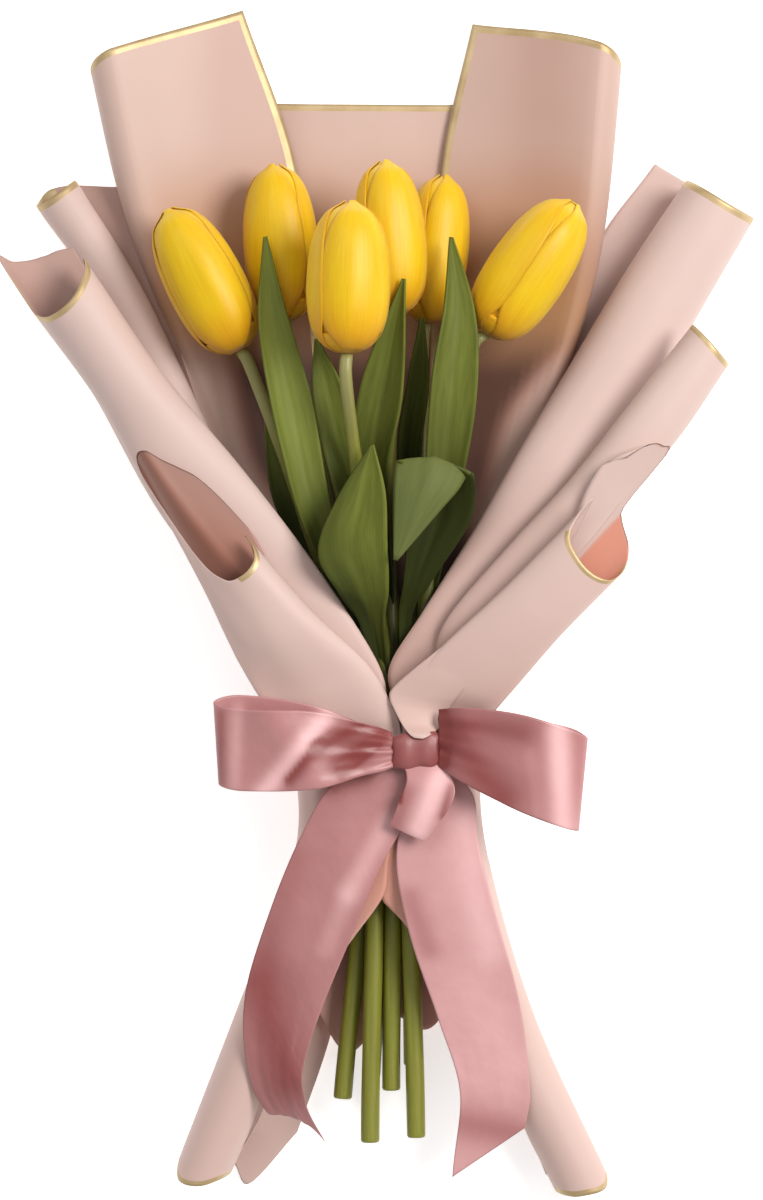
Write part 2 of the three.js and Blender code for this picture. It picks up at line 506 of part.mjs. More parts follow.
// A rounded rectangle across X and Z, pushed out along Y.
function ringShape(halfX, halfZ, corner) {
  const shape = new THREE.Shape();
  shape.moveTo(-halfX + corner, -halfZ);
  shape.lineTo(halfX - corner, -halfZ).absarc(halfX - corner, -halfZ + corner, corner, -Math.PI / 2, 0);
  shape.lineTo(halfX, halfZ - corner).absarc(halfX - corner, halfZ - corner, corner, 0, Math.PI / 2);
  shape.lineTo(-halfX + corner, halfZ).absarc(-halfX + corner, halfZ - corner, corner, Math.PI / 2, Math.PI);
  shape.lineTo(-halfX, -halfZ + corner).absarc(-halfX + corner, -halfZ + corner, corner, Math.PI, 1.5 * Math.PI);
  return shape;
}

function ring(halfX, halfZ, corner, thickness, width, centre) {
  const outer = ringShape(halfX + thickness, halfZ + thickness, corner + thickness);
  outer.holes.push(ringShape(halfX, halfZ, corner));
  const g = new THREE.ExtrudeGeometry(outer, { depth: width, bevelEnabled: false, curveSegments: 3 });
  return g.translate(0, 0, -width / 2).rotateX(Math.PI / 2).translate(...centre);
}

add('ribbon_band', ring(39.8, 20.5, 17.5, RIBBON, 14, [TIE_X, TIE_Y - 4, TIE_Z]), ROSE);
add('stem_tie', ring(13.6, 9.2, 4.2, 1.2, 9, [3.8, TIE_Y, 26.6]), TWINE);

const knotShape = ringShape(9.3, 4.4, 3);
const knot = new THREE.ExtrudeGeometry(knotShape, {
  depth: 13, bevelEnabled: true, bevelThickness: 2, bevelSize: 1.2, bevelOffset: -1.2, bevelSegments: 1,
    curveSegments: 3,
});
add('bow_knot', knot.translate(0, 0, -6.5).rotateX(Math.PI / 2).translate(14.5, -65, 55.4), ROSE);

bunch.position.set(...CENTRE_ON_ORIGIN);

export default bunch;
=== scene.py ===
import bpy
import numpy as np
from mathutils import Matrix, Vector


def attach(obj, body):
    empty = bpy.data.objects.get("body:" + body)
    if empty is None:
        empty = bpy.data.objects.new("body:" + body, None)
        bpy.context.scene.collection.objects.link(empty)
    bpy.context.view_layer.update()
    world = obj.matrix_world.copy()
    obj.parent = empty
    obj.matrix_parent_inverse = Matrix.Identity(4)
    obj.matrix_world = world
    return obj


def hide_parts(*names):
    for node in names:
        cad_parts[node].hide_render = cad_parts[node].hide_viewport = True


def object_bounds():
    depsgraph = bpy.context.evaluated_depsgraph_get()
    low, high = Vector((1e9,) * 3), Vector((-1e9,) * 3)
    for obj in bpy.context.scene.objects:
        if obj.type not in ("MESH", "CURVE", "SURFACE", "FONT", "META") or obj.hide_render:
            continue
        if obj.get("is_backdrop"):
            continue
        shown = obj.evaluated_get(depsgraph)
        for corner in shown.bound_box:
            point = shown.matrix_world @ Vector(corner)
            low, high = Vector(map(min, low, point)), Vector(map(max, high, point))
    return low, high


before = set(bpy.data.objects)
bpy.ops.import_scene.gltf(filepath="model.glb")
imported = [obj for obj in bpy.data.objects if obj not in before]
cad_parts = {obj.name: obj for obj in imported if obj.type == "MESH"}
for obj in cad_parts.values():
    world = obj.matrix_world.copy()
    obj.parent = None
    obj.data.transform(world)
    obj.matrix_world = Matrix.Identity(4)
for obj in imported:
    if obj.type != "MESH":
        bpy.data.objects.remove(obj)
cad_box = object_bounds()

MM = 0.001
CENTRE_ON_ORIGIN = np.array([2.3, 0.16, 0.0])
TIE_X = 3.0
TIE_Y = -62.0
TIE_Z = 29.3
UP = np.array([0.0, 0.0, 1.0])


def add_object(data, place=(0, 0, 0)):
    obj = bpy.data.objects.new(data.name, data)
    obj.location = place
    bpy.context.scene.collection.objects.link(obj)
    return obj


# Camera: straight above, where one pixel of the photo is PIXEL millimetres at the surface
PIXEL = 0.44
PHOTO_HEIGHT = 1200
CAMERA_HEIGHT = 2000.0
SENSOR = 36.0

camera_data = bpy.data.cameras.new("camera")
camera_data.sensor_fit = "AUTO"
camera_data.sensor_width = SENSOR
camera_data.lens = SENSOR * CAMERA_HEIGHT / (PIXEL * PHOTO_HEIGHT)
bpy.context.scene.camera = add_object(camera_data, (CENTRE_ON_ORIGIN + UP * CAMERA_HEIGHT) * MM)


# Curves and tables, as in the part's source
def array(rows):
    return np.array(rows, dtype=float)


def smoothstep(x, low, high):
    t = np.clip((x - low) / (high - low), 0, 1)
    return t * t * (3 - 2 * t)


def fall(x, low, high):
    return 1 - smoothstep(x, low, high)


def stacked(*parts):
    return np.stack(parts, axis=-1)


def hermite(f, a, slope_a, b, slope_b):
    f2, f3 = f * f, f * f * f
    return (2 * f3 - 3 * f2 + 1) * a + (f3 - 2 * f2 + f) * slope_a + (3 * f2 - 2 * f3) * b + (f3 - f2) * slope_b


def table(pairs, x):
    """A smooth curve through (x, value) pairs, flat beyond both ends."""
    xs, ys = array(pairs).T
    x = np.clip(x, xs[0], xs[-1])
    place = np.arange(len(xs))
    lower, upper = np.maximum(place - 1, 0), np.minimum(place + 1, place[-1])
    slope = (ys[upper] - ys[lower]) / (xs[upper] - xs[lower])
    i = np.clip(np.searchsorted(xs, x, side="right") - 1, 0, place[-1] - 1)
    w = xs[i + 1] - xs[i]
    return hermite((x - xs[i]) / w, ys[i], w * slope[i], ys[i + 1], w * slope[i + 1])


def spline(points, t):
    """Catmull-Rom curve through points, t from 0 to 1, with its directions."""
    p = array(points)
    p = np.vstack([2 * p[0] - p[1], p, 2 * p[-1] - p[-2]])
    s = np.clip(t, 0, 1) * (len(p) - 3)
    i = np.minimum(s.astype(int), len(p) - 4)
    f = (s - i)[:, None]
    p0, p1, p2, p3 = p[i], p[i + 1], p[i + 2], p[i + 3]
    m1, m2 = (p2 - p0) / 2, (p3 - p1) / 2
    way = 6 * (f**2 - f) * (p1 - p2) + (3 * f**2 - 4 * f + 1) * m1 + (3 * f**2 - 2 * f) * m2
    return hermite(f, p1, m1, p2, m2), unit(way)


def even_spline(points, t):
    """The same curve, with t even along its length."""
    fine = np.linspace(0, 1, 400)
    here, _ = spline(points, fine)
    length = lengths(here)
    return spline(points, np.interp(t * length[-1], length, fine))


def unit(v):
    return v / np.maximum(np.linalg.norm(v, axis=-1, keepdims=True), 1e-9)


def ramp(*stops):
    """Steps from (start, end, count) spans, joined end to end."""
    spans = [np.linspace(a, b, n, endpoint=False) for a, b, n in stops]
    return np.concatenate(spans + [[stops[-1][1]]])


def lengths(points):
    """How far along a line of points each one lies."""
    return np.concatenate([[0], np.cumsum(np.linalg.norm(np.diff(points, axis=0), axis=1))])


def evenly(values, t):
    """A smooth curve through values set evenly from 0 to 1."""
    last = len(values) - 1
    return table([(i / last, value) for i, value in enumerate(values)], t)


def bell(x):
    return np.exp(-(x**2))


def round_angles(count):
    return np.linspace(0, 2 * np.pi, count, endpoint=False)


def normals(grid):
    return unit(np.cross(np.gradient(grid, axis=0), np.gradient(grid, axis=1)))


def frames_along(way):
    """Two directions across a path that turn as little as they can."""
    side = unit(np.cross(way[0], [0.13, 0.2, 0.97]))
    sides = []
    for w in way:
        side = unit(side - w * np.dot(side, w))
        sides.append(side)
    sides = np.array(sides)
    return sides, np.cross(way, sides)


# Meshes
UV_LENGTH = 100


def inside_out(outside, inside):
    """Tones of a sheet on its outer and its inner face, each a painted shade and a painted warmth."""
    return np.stack([stacked(*outside), stacked(*inside)])


def both_sides(*tones):
    return inside_out(tones, tones)


class Build:
    """Collects sheets and tubes into one mesh."""

    def __init__(self):
        self.points, self.faces, self.uvs, self.tones, self.materials = [], [], [], [], []
        self.count = 0

    def take(self, points, faces, uvs, materials, tones):
        self.points.append(points)
        self.uvs.append(uvs)
        self.tones.append(np.zeros((len(points), 2)) if tones is None else tones)
        self.faces += [tuple(int(k) + self.count for k in face) for face in faces]
        self.materials += materials
        self.count += len(points)
        return self

    def sheet(self, grid, thickness, look=lambda i, j, side: 0, uv=None, tones=None):
        """A plate on grid[row, column], of even thickness or with one given at each point. look picks a material
        from the cell and the side, 2 at an edge. tones is shade and warmth at each [side, row, column]."""
        rows, cols = grid.shape[:2]
        half_plate = normals(grid) * np.broadcast_to(thickness, (rows, cols))[..., None] / 2
        points = np.concatenate([(grid + half_plate).reshape(-1, 3), (grid - half_plate).reshape(-1, 3)])
        if uv is None:
            u, v = lengths(grid[rows // 2]), lengths(grid[:, cols // 2])
            uv = stacked(*np.meshgrid(u / UV_LENGTH, v / UV_LENGTH))
        under = rows * cols
        faces, materials = [], []

        def add(i, j, side, *corners):
            faces.append(corners)
            materials.append(look(i, j, side))

        for i in range(rows - 1):
            for j in range(cols - 1):
                a, b = i * cols + j, (i + 1) * cols + j
                add(i, j, 0, a, b, b + 1, a + 1)
                add(i, j, 1, under + a, under + a + 1, under + b + 1, under + b)
        for i in range(rows - 1):
            a, b = i * cols, (i + 1) * cols
            add(i, 0, 2, b, a, under + a, under + b)
            a, b = a + cols - 1, b + cols - 1
            add(i, cols - 2, 2, a, b, under + b, under + a)
        for j in range(cols - 1):
            a = (rows - 1) * cols + j
            add(0, j, 2, j, j + 1, under + j + 1, under + j)
            add(rows - 2, j, 2, a + 1, a, under + a, under + a + 1)
        uvs = np.concatenate([uv.reshape(-1, 2)] * 2)
        return self.take(points, faces, uvs, materials, None if tones is None else tones.reshape(-1, 2))

    def tube(self, rings, tones=None):
        """A skin over rings[step, side], with its ends closed to their middles. tones is given for each step."""
        steps, sides = rings.shape[:2]
        points = np.concatenate([rings.reshape(-1, 3), rings[0].mean(axis=0)[None], rings[-1].mean(axis=0)[None]])
        foot, head = steps * sides, steps * sides + 1
        following = [(k, (k + 1) % sides) for k in range(sides)]
        faces = []
        for a in range(0, (steps - 1) * sides, sides):
            faces += [(a + k, a + n, a + sides + n, a + sides + k) for k, n in following]
        for k, n in following:
            faces += [(foot, n, k), (head, foot - sides + k, foot - sides + n)]
        v = lengths(rings[:, 0]) / UV_LENGTH
        u = np.abs(np.linspace(-1, 1, sides, endpoint=False)) * 0.2
        uvs = np.concatenate([stacked(*np.meshgrid(u, v)).reshape(-1, 2), [[0, 0], [0, v[-1]]]])
        if tones is not None:
            tones = np.concatenate([np.repeat(tones, sides, axis=0), tones[[0, -1]]])
        return self.take(points, faces, uvs, [0] * len(faces), tones)

    def finish(self, name, looks, *nodes):
        """Makes the object that stands for nodes."""
        mesh = bpy.data.meshes.new(name)
        mesh.from_pydata((np.concatenate(self.points) + CENTRE_ON_ORIGIN) * MM, [], self.faces)
        tones = np.concatenate(self.tones).astype(np.float32)
        # shade and warmth are painted light: shade darkens a surface, and warmth mixes in a tint that stands for
        # light bounced in the wrap on paper, highlights on satin and lit middles on leaves, and for shade at the
        # edges and foot of petals
        for column, label in enumerate(["shade", "warmth"]):
            mesh.attributes.new(label, "FLOAT", "POINT").data.foreach_set("value", tones[:, column].copy())
        corners = np.zeros(len(mesh.loops), dtype=int)
        mesh.loops.foreach_get("vertex_index", corners)
        mesh.uv_layers.new(name="flat").data.foreach_set("uv", np.concatenate(self.uvs)[corners].ravel())
        for look in looks:
            mesh.materials.append(look)
        mesh.polygons.foreach_set("material_index", np.asarray(self.materials, dtype=np.int32))
        mesh.polygons.foreach_set("use_smooth", np.full(len(mesh.polygons), True))
        obj = add_object(mesh)
        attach(obj, "root")
        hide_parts(*nodes)
        return obj


# Materials
WHITE = (1, 1, 1)


class Look:
    """A material and short ways to add to it. Values are constants or outputs of other nodes."""

    def __init__(self, name):
        self.material = bpy.data.materials.new(name)
        self.material.use_nodes = True
        self.nodes = self.material.node_tree.nodes
        self.shader = self.nodes["Principled BSDF"]

    def give(self, node, values):
        for name, value in values.items():
            if isinstance(value, bpy.types.NodeSocket):
                self.material.node_tree.links.new(value, node.inputs[name])
            else:
                node.inputs[name].default_value = value

    def add(self, kind, values, **settings):
        node = self.nodes.new("ShaderNode" + kind)
        for name, value in settings.items():
            setattr(node, name, value)
        self.give(node, values)
        return node

    def place(self, source, x=1, y=1):
        vector = self.add("TexCoord", {}).outputs[source]
        return self.add("Mapping", {"Vector": vector, "Scale": (x, y, 1)}).outputs["Vector"]

    def noise(self, vector, scale, detail, rough=0.5):
        values = {"Vector": vector, "Scale": scale, "Detail": detail, "Roughness": rough}
        return self.add("TexNoise", values).outputs["Fac"]

    def lines(self, vector, direction, scale, distortion, detail):
        values = {"Vector": vector, "Scale": scale, "Distortion": distortion, "Detail": detail}
        return self.add("TexWave", values, wave_type="BANDS", bands_direction=direction).outputs["Fac"]

    def colours(self, value, *stops):
        """Colours along value, from stops of a place and a colour."""
        node = self.add("ValToRGB", {"Fac": value})
        elements = node.color_ramp.elements
        while len(elements) < len(stops):
            elements.new(0.5)
        for element, (place, colour) in zip(elements, stops):
            element.position = place
            element.color = (*colour, 1)
        return node.outputs["Color"]

    def mottled(self, value, low, high):
        return self.colours(value, (0.3, low), (0.7, high))

    def tone(self, name):
        return self.add("Attribute", {}, attribute_name=name).outputs["Fac"]

    def blended(self, mode, factor, a, b):
        values = {"Factor": factor, "A": a, "B": b}
        return self.add("Mix", values, data_type="RGBA", blend_type=mode).outputs["Result"]

    def darkened(self, base, *stops):
        """base times the colours that it takes as the shade rises from none."""
        return self.blended("MULTIPLY", 1, base, self.colours(self.tone("shade"), (0, WHITE), *stops))

    def warmed(self, base, colour):
        return self.blended("MIX", self.tone("warmth"), base, colour)

    def bump(self, height, strength, distance, **base):
        values = {"Height": height, "Strength": strength, "Distance": distance, **base}
        return self.add("Bump", values).outputs["Normal"]

    def finish(self, colour, roughness, **values):
        """Sets the shader. An underscore in a name stands for a space."""
        self.give(self.shader, {"Base Color": colour, "Roughness": roughness})
        self.give(self.shader, {name.replace("_", " "): value for name, value in values.items()})
        return self.material


def paper_material(name, plain, warm):
    """Matt wrapping sheet. It is darker and browner with painted shade as shade rises, and takes its warm colour, a
    painted tint of light bounced inside the wrap, with warmth.
    """
    look = Look(name)
    place = look.place("Object")
    cloud = look.noise(place, 9, 2)
    shaded = look.darkened(
        look.mottled(cloud, *plain), (0.25, (0.72, 0.6, 0.56)), (0.5, (0.42, 0.29, 0.25)),
        (0.75, (0.19, 0.115, 0.09)), (1, (0.07, 0.035, 0.025)))
    colour = look.warmed(shaded, look.mottled(cloud, *warm))
    wave = look.bump(look.noise(place, 22, 2), 0.3, 0.003)
    tooth = look.bump(look.noise(place, 900, 3), 0.06, 0.0003, Normal=wave)
    through = look.add("BsdfTranslucent", {"Color": colour})
    mix = look.add("MixShader", {0: 0.1, 1: look.shader.outputs["BSDF"], 2: through.outputs["BSDF"]})
    look.give(look.nodes["Material Output"], {"Surface": mix.outputs["Shader"]})
    return look.finish(
        colour, 0.5, Specular_IOR_Level=0.35, Sheen_Weight=0.1, Sheen_Roughness=0.5, Normal=tooth)


def gold_material():
    look = Look("gold_edge")
    grain = look.noise(look.place("Object"), 60, 3)
    colour = look.mottled(grain, (0.42, 0.29, 0.14), (0.6, 0.45, 0.25))
    return look.finish(colour, 0.46, Metallic=0.45, Normal=look.bump(grain, 0.15, 0.0004))


def satin_material():
    """Woven satin: fine cross threads and a sheen. It is darker with painted shade in its folds as shade rises, and
    paler with painted highlights as warmth rises.
    """
    look = Look("satin_ribbon")
    place = look.place("UV")
    cloud = look.noise(place, 6, 2)
    shaded = look.darkened(
        look.mottled(cloud, (0.44, 0.195, 0.19), (0.47, 0.215, 0.21)), (1, (0.47, 0.17, 0.155)))
    colour = look.warmed(shaded, look.mottled(cloud, (0.8, 0.46, 0.46), (0.84, 0.5, 0.5)))
    soft = look.bump(look.noise(place, 9, 2), 0.3, 0.0015)
    threads = look.bump(look.lines(place, "Y", 90, 0.6, 1), 0.12, 0.0002, Normal=soft)
    return look.finish(
        colour, 0.38, Specular_IOR_Level=0.6, Sheen_Weight=0.35, Sheen_Roughness=0.35,
        Sheen_Tint=(1, 0.72, 0.74, 1), Normal=threads)


def petal_material():
    """Tulip petal: u runs across from 0 to 1 and v from foot to tip. Fine streaks, and painted shade that makes the
    edges and the foot a deeper orange.
    """
    look = Look("petal")
    streaks = look.noise(look.place("UV", 26, 1.6), 1.6, 4, 0.6)
    base = look.colours(
        streaks, (0.25, (0.72, 0.41, 0.002)), (0.5, (0.76, 0.47, 0.003)), (0.75, (0.79, 0.53, 0.005)))
    patches = look.mottled(look.noise(look.place("UV", 3, 1.2), 1.3, 2), (0.97, 0.78, 0.5), WHITE)
    height = look.add("SeparateXYZ", {"Vector": look.place("UV")}).outputs["Y"]
    # Painted shade towards the foot of the bloom, and a touch warmer at the tip
    rise = look.colours(
        height, (0, (0.86, 0.72, 0.5)), (0.12, (0.96, 0.84, 0.7)), (0.35, WHITE), (1, (1, 0.97, 0.9)))
    # Painted shade at the petals' edges and foot, carried in warmth
    painted_edge_shade = look.colours(look.tone("warmth"), (0, WHITE), (1, (0.94, 0.8, 0.65)))
    colour = look.blended("MULTIPLY", 0.45, base, patches)
    for part in (rise, painted_edge_shade):
        colour = look.blended("MULTIPLY", 1, colour, part)
    return look.finish(
        colour, 0.42, Specular_IOR_Level=0.3, Subsurface_Weight=0.25, Subsurface_Radius=(0.006, 0.004, 0.001),
        Subsurface_Scale=0.6, Sheen_Weight=0.08, Normal=look.bump(streaks, 0.16, 0.0005))


def leaf_material(name, dark, mid, pale, rough):
    """Tulip leaf: u across, v along, with parallel veins; paler with painted light as warmth rises, and darker with
    painted shade.
    """
    look = Look(name)
    veins = look.lines(look.place("UV", 1, 0.08), "X", 7, 0.5, 2)
    patches = look.noise(look.place("UV", 5, 2.2), 1.4, 4, 0.6)
    base = look.colours(patches, (0.28, dark), (0.55, mid), (0.8, pale))
    grooves = look.colours(veins, (0, (0.9, 0.9, 0.86)), (1, WHITE))
    veined_painted_light = look.warmed(look.blended("MULTIPLY", 0.4, base, grooves), (0.27, 0.31, 0.07, 1))
    colour = look.darkened(veined_painted_light, (1, (0.1, 0.11, 0.06)))
    return look.finish(colour, rough, Specular_IOR_Level=0.14, Normal=look.bump(veins, 0.1, 0.0003))


def stalk_material():
    """Stalk: green below and paler towards the bloom, and darker with painted shade inside the wrap."""
    look = Look("stalk")
    patches = look.noise(look.place("UV", 14, 1.4), 1.2, 4, 0.6)
    base = look.colours(
        patches, (0.3, (0.17, 0.175, 0.018)), (0.55, (0.22, 0.22, 0.026)), (0.8, (0.3, 0.29, 0.05)))
    pale = look.mottled(patches, (0.22, 0.205, 0.06), (0.3, 0.28, 0.1))
    colour = look.warmed(look.darkened(base, (1, (0.1, 0.1, 0.05))), pale)
    return look.finish(
        colour, 0.4, Subsurface_Weight=0.15, Subsurface_Radius=(0.003, 0.004, 0.001),
        Normal=look.bump(patches, 0.25, 0.0006))


def plain_material(name, colour, rough):
    look = Look(name)
    grain = look.noise(look.place("Object"), 300, 3)
    return look.finish(look.mottled(grain, tuple(0.85 * c for c in colour), colour), rough)


# The plain pair is the paper's colour. The warm pair is the tint of painted light; by the blooms it is an orange
# glow painted for light from the petals
PAPER_LOOK = paper_material(
    "blush_paper", [(0.645, 0.475, 0.425), (0.675, 0.505, 0.455)], [(0.66, 0.235, 0.15), (0.7, 0.27, 0.175)])
PAPER_WITH_BLOOM_GLOW = paper_material(
    "paper_painted_bloom_glow", [(0.6, 0.42, 0.355), (0.63, 0.45, 0.385)], [(0.69, 0.37, 0.14), (0.72, 0.4, 0.16)])
GOLD = gold_material()
SATIN = satin_material()
PETAL_LOOK = petal_material()
LEAF_FACE = leaf_material("leaf_face", (0.105, 0.125, 0.018), (0.15, 0.172, 0.026), (0.19, 0.215, 0.04), 0.5)
LEAF_UNDER = leaf_material("leaf_under", (0.105, 0.122, 0.034), (0.125, 0.145, 0.04), (0.145, 0.165, 0.048), 0.6)
STALK = stalk_material()
CUT = plain_material("cut_end", (0.45, 0.52, 0.22), 0.6)
TWINE = plain_material("twine", (0.6, 0.5, 0.32), 0.8)

# Sheet thickness as seen, in millimetres
PAPER = 0.45
RIBBON = 0.4
LEAF = 0.9
PETAL = 0.6


# Tulips, as in the part's source. turn is where the first outer petal stands, in degrees.
TULIPS = [
    dict(end=(-5, -235, 29), foot=(-5, TIE_Y, 31), bend=(-33, 35, 38), neck=(-61, 108, 40), top=(-92, 168, 44),
         girth=16.5, turn=50),
    dict(end=(-17, -217, 20), foot=(-4.7, TIE_Y, 22.2), bend=(-24, 45, 23), neck=(-41, 122, 26),
         top=(-46.5, 189, 28), girth=16, turn=12),
    dict(end=(4.2, -213, 22.5), foot=(3.8, TIE_Y, 31), bend=(-10, 50, 50), neck=(-14.7, 105, 73),
         top=(-13, 169, 75), girth=17.5, turn=47),
    dict(end=(-4.5, -208, 14), foot=(4, TIE_Y, 22), bend=(3, 50, 27), neck=(5.8, 123, 44), top=(1.2, 189, 46),
         girth=15.4, turn=54),
    dict(end=(13.5, -203, 15), foot=(12.9, TIE_Y, 22.2), bend=(17, 45, 19), neck=(19.5, 121, 19),
         top=(27.3, 185, 20.5), girth=14.3, turn=58),
    dict(end=(15, -233, 28), foot=(12.6, TIE_Y, 31), bend=(27, 45, 37), neck=(45, 115, 40), top=(83, 171, 44),
         girth=17, turn=52),
]
# tones are a leaf's even painted shade, its painted light that makes its middle paler, and how much painted shade
# darkens its left half
LEAVES = [
    dict(tulip=0, start=0.6, across=(1, 0.25, -0.2), arch=0.35, tones=(0, 0.45, 0.1),
         path=[(-23, 20, 41.5), (-31, 46, 48), (-39, 84, 52), (-47, 121, 51.5), (-50, 156, 48)],
         half=[2.6, 6.5, 8.5, 10, 7, 0.8]),
    dict(tulip=0, start=0.62, across=(1, 0.45, 0.2), arch=0.35, tones=(0.12, 0, 0),
         path=[(-33, 26, 32.5), (-42, 50, 35), (-50, 78, 36)], half=[2.6, 5.5, 7, 0.8]),
    dict(tulip=2, start=0.6, across=(1, 0.2, 0.1), arch=0.3, tones=(0.12, 0, 0.1),
         path=[(-13, 48, 44), (-22, 86, 48), (-28, 112, 50)], half=[2.6, 8, 8, 0.8]),
    dict(tulip=3, start=0.6, across=(1, -0.12, 0.35), arch=0.35, tones=(0.12, 0.1, 0.1),
         path=[(-4, 50, 37), (1, 90, 48), (9.5, 137, 61.5)], half=[2.4, 8.5, 11, 0.8]),
    dict(tulip=4, start=0.68, across=(1, -0.1, 0), arch=0.3, tones=(0.4, 0, 0),
         path=[(12, 62, 28), (16, 95, 33), (17.5, 122, 37)], half=[2.4, 5.5, 5, 0.8]),
    dict(tulip=5, start=0.62, across=(1, -0.1, -0.15), arch=0.35, tones=(0.16, 0.1, 0.15),
         path=[(27, 58, 45), (31, 96, 50), (33, 125, 50), (30, 156, 45)], half=[2.6, 9.5, 11, 7.5, 0.8]),
    dict(tulip=2, start=0.5, across=(1, 0.15, 0.1), arch=0.3, tones=(0.05, 0.1, 0.55),
         path=[(-3.4, -12, 42.5), (-7.2, 5, 50), (-12, 24, 57), (-8.5, 45, 62), (-4, 66, 65)],
         half=[2.4, 5.5, 11.5, 16.3, 11.5, 0.8]),
    dict(tulip=5, start=0.5, across=(1, -0.15, 0), arch=0.25, tones=(0.3, 0, 0),
         path=[(10, -10, 39), (15.5, 9, 46), (25, 38, 52), (23, 60, 59), (18, 47, 66), (6, 17, 64)],
         half=[2.6, 2.8, 6.5, 15, 17, 14, 0.8]),
]
STEM_RADIUS_LOW = 4
STEM_RADIUS_NECK = 2.7
STRAIGHT_TOP = 12
CUT_BELOW_Y = -190
SEAT = 0.5
LEAF_ROWS = 64
LEAF_COLS = 17
LEAF_MIN_HALF = 0.35
FOLDED_LEAF = 7

BLOOM_RADIUS = [(0, 0.26), (0.05, 0.6), (0.17, 0.88), (0.38, 1), (0.62, 0.97), (0.8, 0.83), (0.92, 0.6), (1, 0.3)]
PETAL_HALF_ANGLE = [(0, 36), (0.2, 61), (0.5, 63), (0.75, 59), (0.9, 50), (1, 30)]
INNER_HALF_ANGLE = [(0, 34), (0.2, 58), (0.5, 60), (0.75, 59), (0.9, 56), (1, 40)]
INNER_RADIUS = [
    (0, 0.24), (0.07, 0.6), (0.2, 0.86), (0.42, 1), (0.65, 0.965), (0.82, 0.82), (0.93, 0.57), (1, 0.14)]
OUTER_TIP = [(0.86, 1), (0.94, 0.92), (1, 0.5)]

# A petal's grid, and how its surface is ribbed
PETAL_ROWS = 44
PETAL_COLS = 29
PETAL_RISE = np.sin(np.linspace(0, 1, PETAL_ROWS) * np.pi / 2)
PETAL_LAP = 0.13
GROOVE_DEPTH = 0.25
GROOVE_WIDTH = 0.16
RIB_HEIGHT = 0.14
INNER_GAP = 0.55
INNER_MIN_RADIUS = 0.4
INNER_HEIGHT = 0.985
CUP_HEIGHT = 0.12
CUP_GAP = 0.35


def petal_grid(height, girth, middle, inner, seed):
    """One petal of a closed bloom, standing on the origin along Z."""
    v = PETAL_RISE[:, None]
    u = np.linspace(-1, 1, PETAL_COLS)[None, :]
    angle = np.radians(middle + u * table(INNER_HALF_ANGLE if inner else PETAL_HALF_ANGLE, v))
    if inner:
        r = np.maximum(girth * table(INNER_RADIUS, v) - INNER_GAP, INNER_MIN_RADIUS)
        height = height * INNER_HEIGHT
    else:
        # Each outer petal laps over the next at one side and under it at the other
        r = girth * (table(BLOOM_RADIUS, v) * table(OUTER_TIP, v)) + PETAL_LAP * u**3 * smoothstep(v, 0, 0.2)
    # A shallow midrib groove and broad lengthwise ribs, fading at both ends
    rise = np.sin(np.pi * v)
    r = r - GROOVE_DEPTH * bell(u / GROOVE_WIDTH) * rise
    r = r + RIB_HEIGHT * np.sin(7 * u + seed) * rise * (1 - u**4)
    return stacked(r * np.cos(angle), r * np.sin(angle), height * v * np.ones_like(u))


def turned_to(axis):
    """Rotation that takes +Z to axis by the shortest way."""
    z = unit(axis)
    v = np.cross(UP, z)
    k = array([[0, -v[2], v[1]], [v[2], 0, -v[0]], [-v[1], v[0], 0]])
    return np.eye(3) + k + k @ k / (1 + z[2])


def make_bloom(number, tulip):
    neck = array(tulip["neck"])
    axis = array(tulip["top"]) - neck
    height = float(np.linalg.norm(axis))
    rotation = turned_to(axis)
    uv = stacked(*np.meshgrid(np.linspace(0, 1, PETAL_COLS), PETAL_RISE))
    edge = np.abs(2 * uv[..., 0] - 1)
    # Painted shade, carried in warmth: a deeper orange at the petals' edges, where they lap, and at the foot
    warm = np.clip(edge**5 + 0.6 * fall(uv[..., 1], 0.02, 0.3), 0, 1)
    build = Build()
    for k in range(3):
        for inner in (False, True):
            middle = tulip["turn"] + 120 * k + 60 * inner
            grid = petal_grid(height, tulip["girth"], middle, inner, number * 1.7 + 2.1 * k + inner)
            build.sheet(
                grid @ rotation.T + neck, PETAL * (1 - 0.7 * edge**6),
                uv=uv + [number * 1.37 + k * 0.41 + inner * 0.2, 0], tones=both_sides(0 * warm, warm))
    # A cup fills the foot of the bloom
    rise = np.linspace(0, CUP_HEIGHT, 6)[:, None]
    angle = round_angles(24)[None]
    radius = tulip["girth"] * table(BLOOM_RADIUS, rise) - CUP_GAP
    rings = stacked(radius * np.cos(angle), radius * np.sin(angle), rise * height * np.ones_like(angle))
    build.tube(rings @ rotation.T + neck)
    build.finish(f"tulip_{number}", [PETAL_LOOK], f"bloom_{number}")


def stem_points(tulip):
    axis = unit(array(tulip["top"]) - array(tulip["neck"]))
    head = array(tulip["neck"]) - axis * SEAT
    return [tulip["end"], tulip["foot"], tulip["bend"], head - axis * STRAIGHT_TOP, head]


def in_the_wrap(points):
    """How deep in the shade of the wrap a point lies, from 0 to 1: most between the tie and the blooms' necks."""
    y, z = points[..., 1], points[..., 2]
    return smoothstep(y, -75, -45) * fall(y, 20, 105) * fall(z, 36, 62)


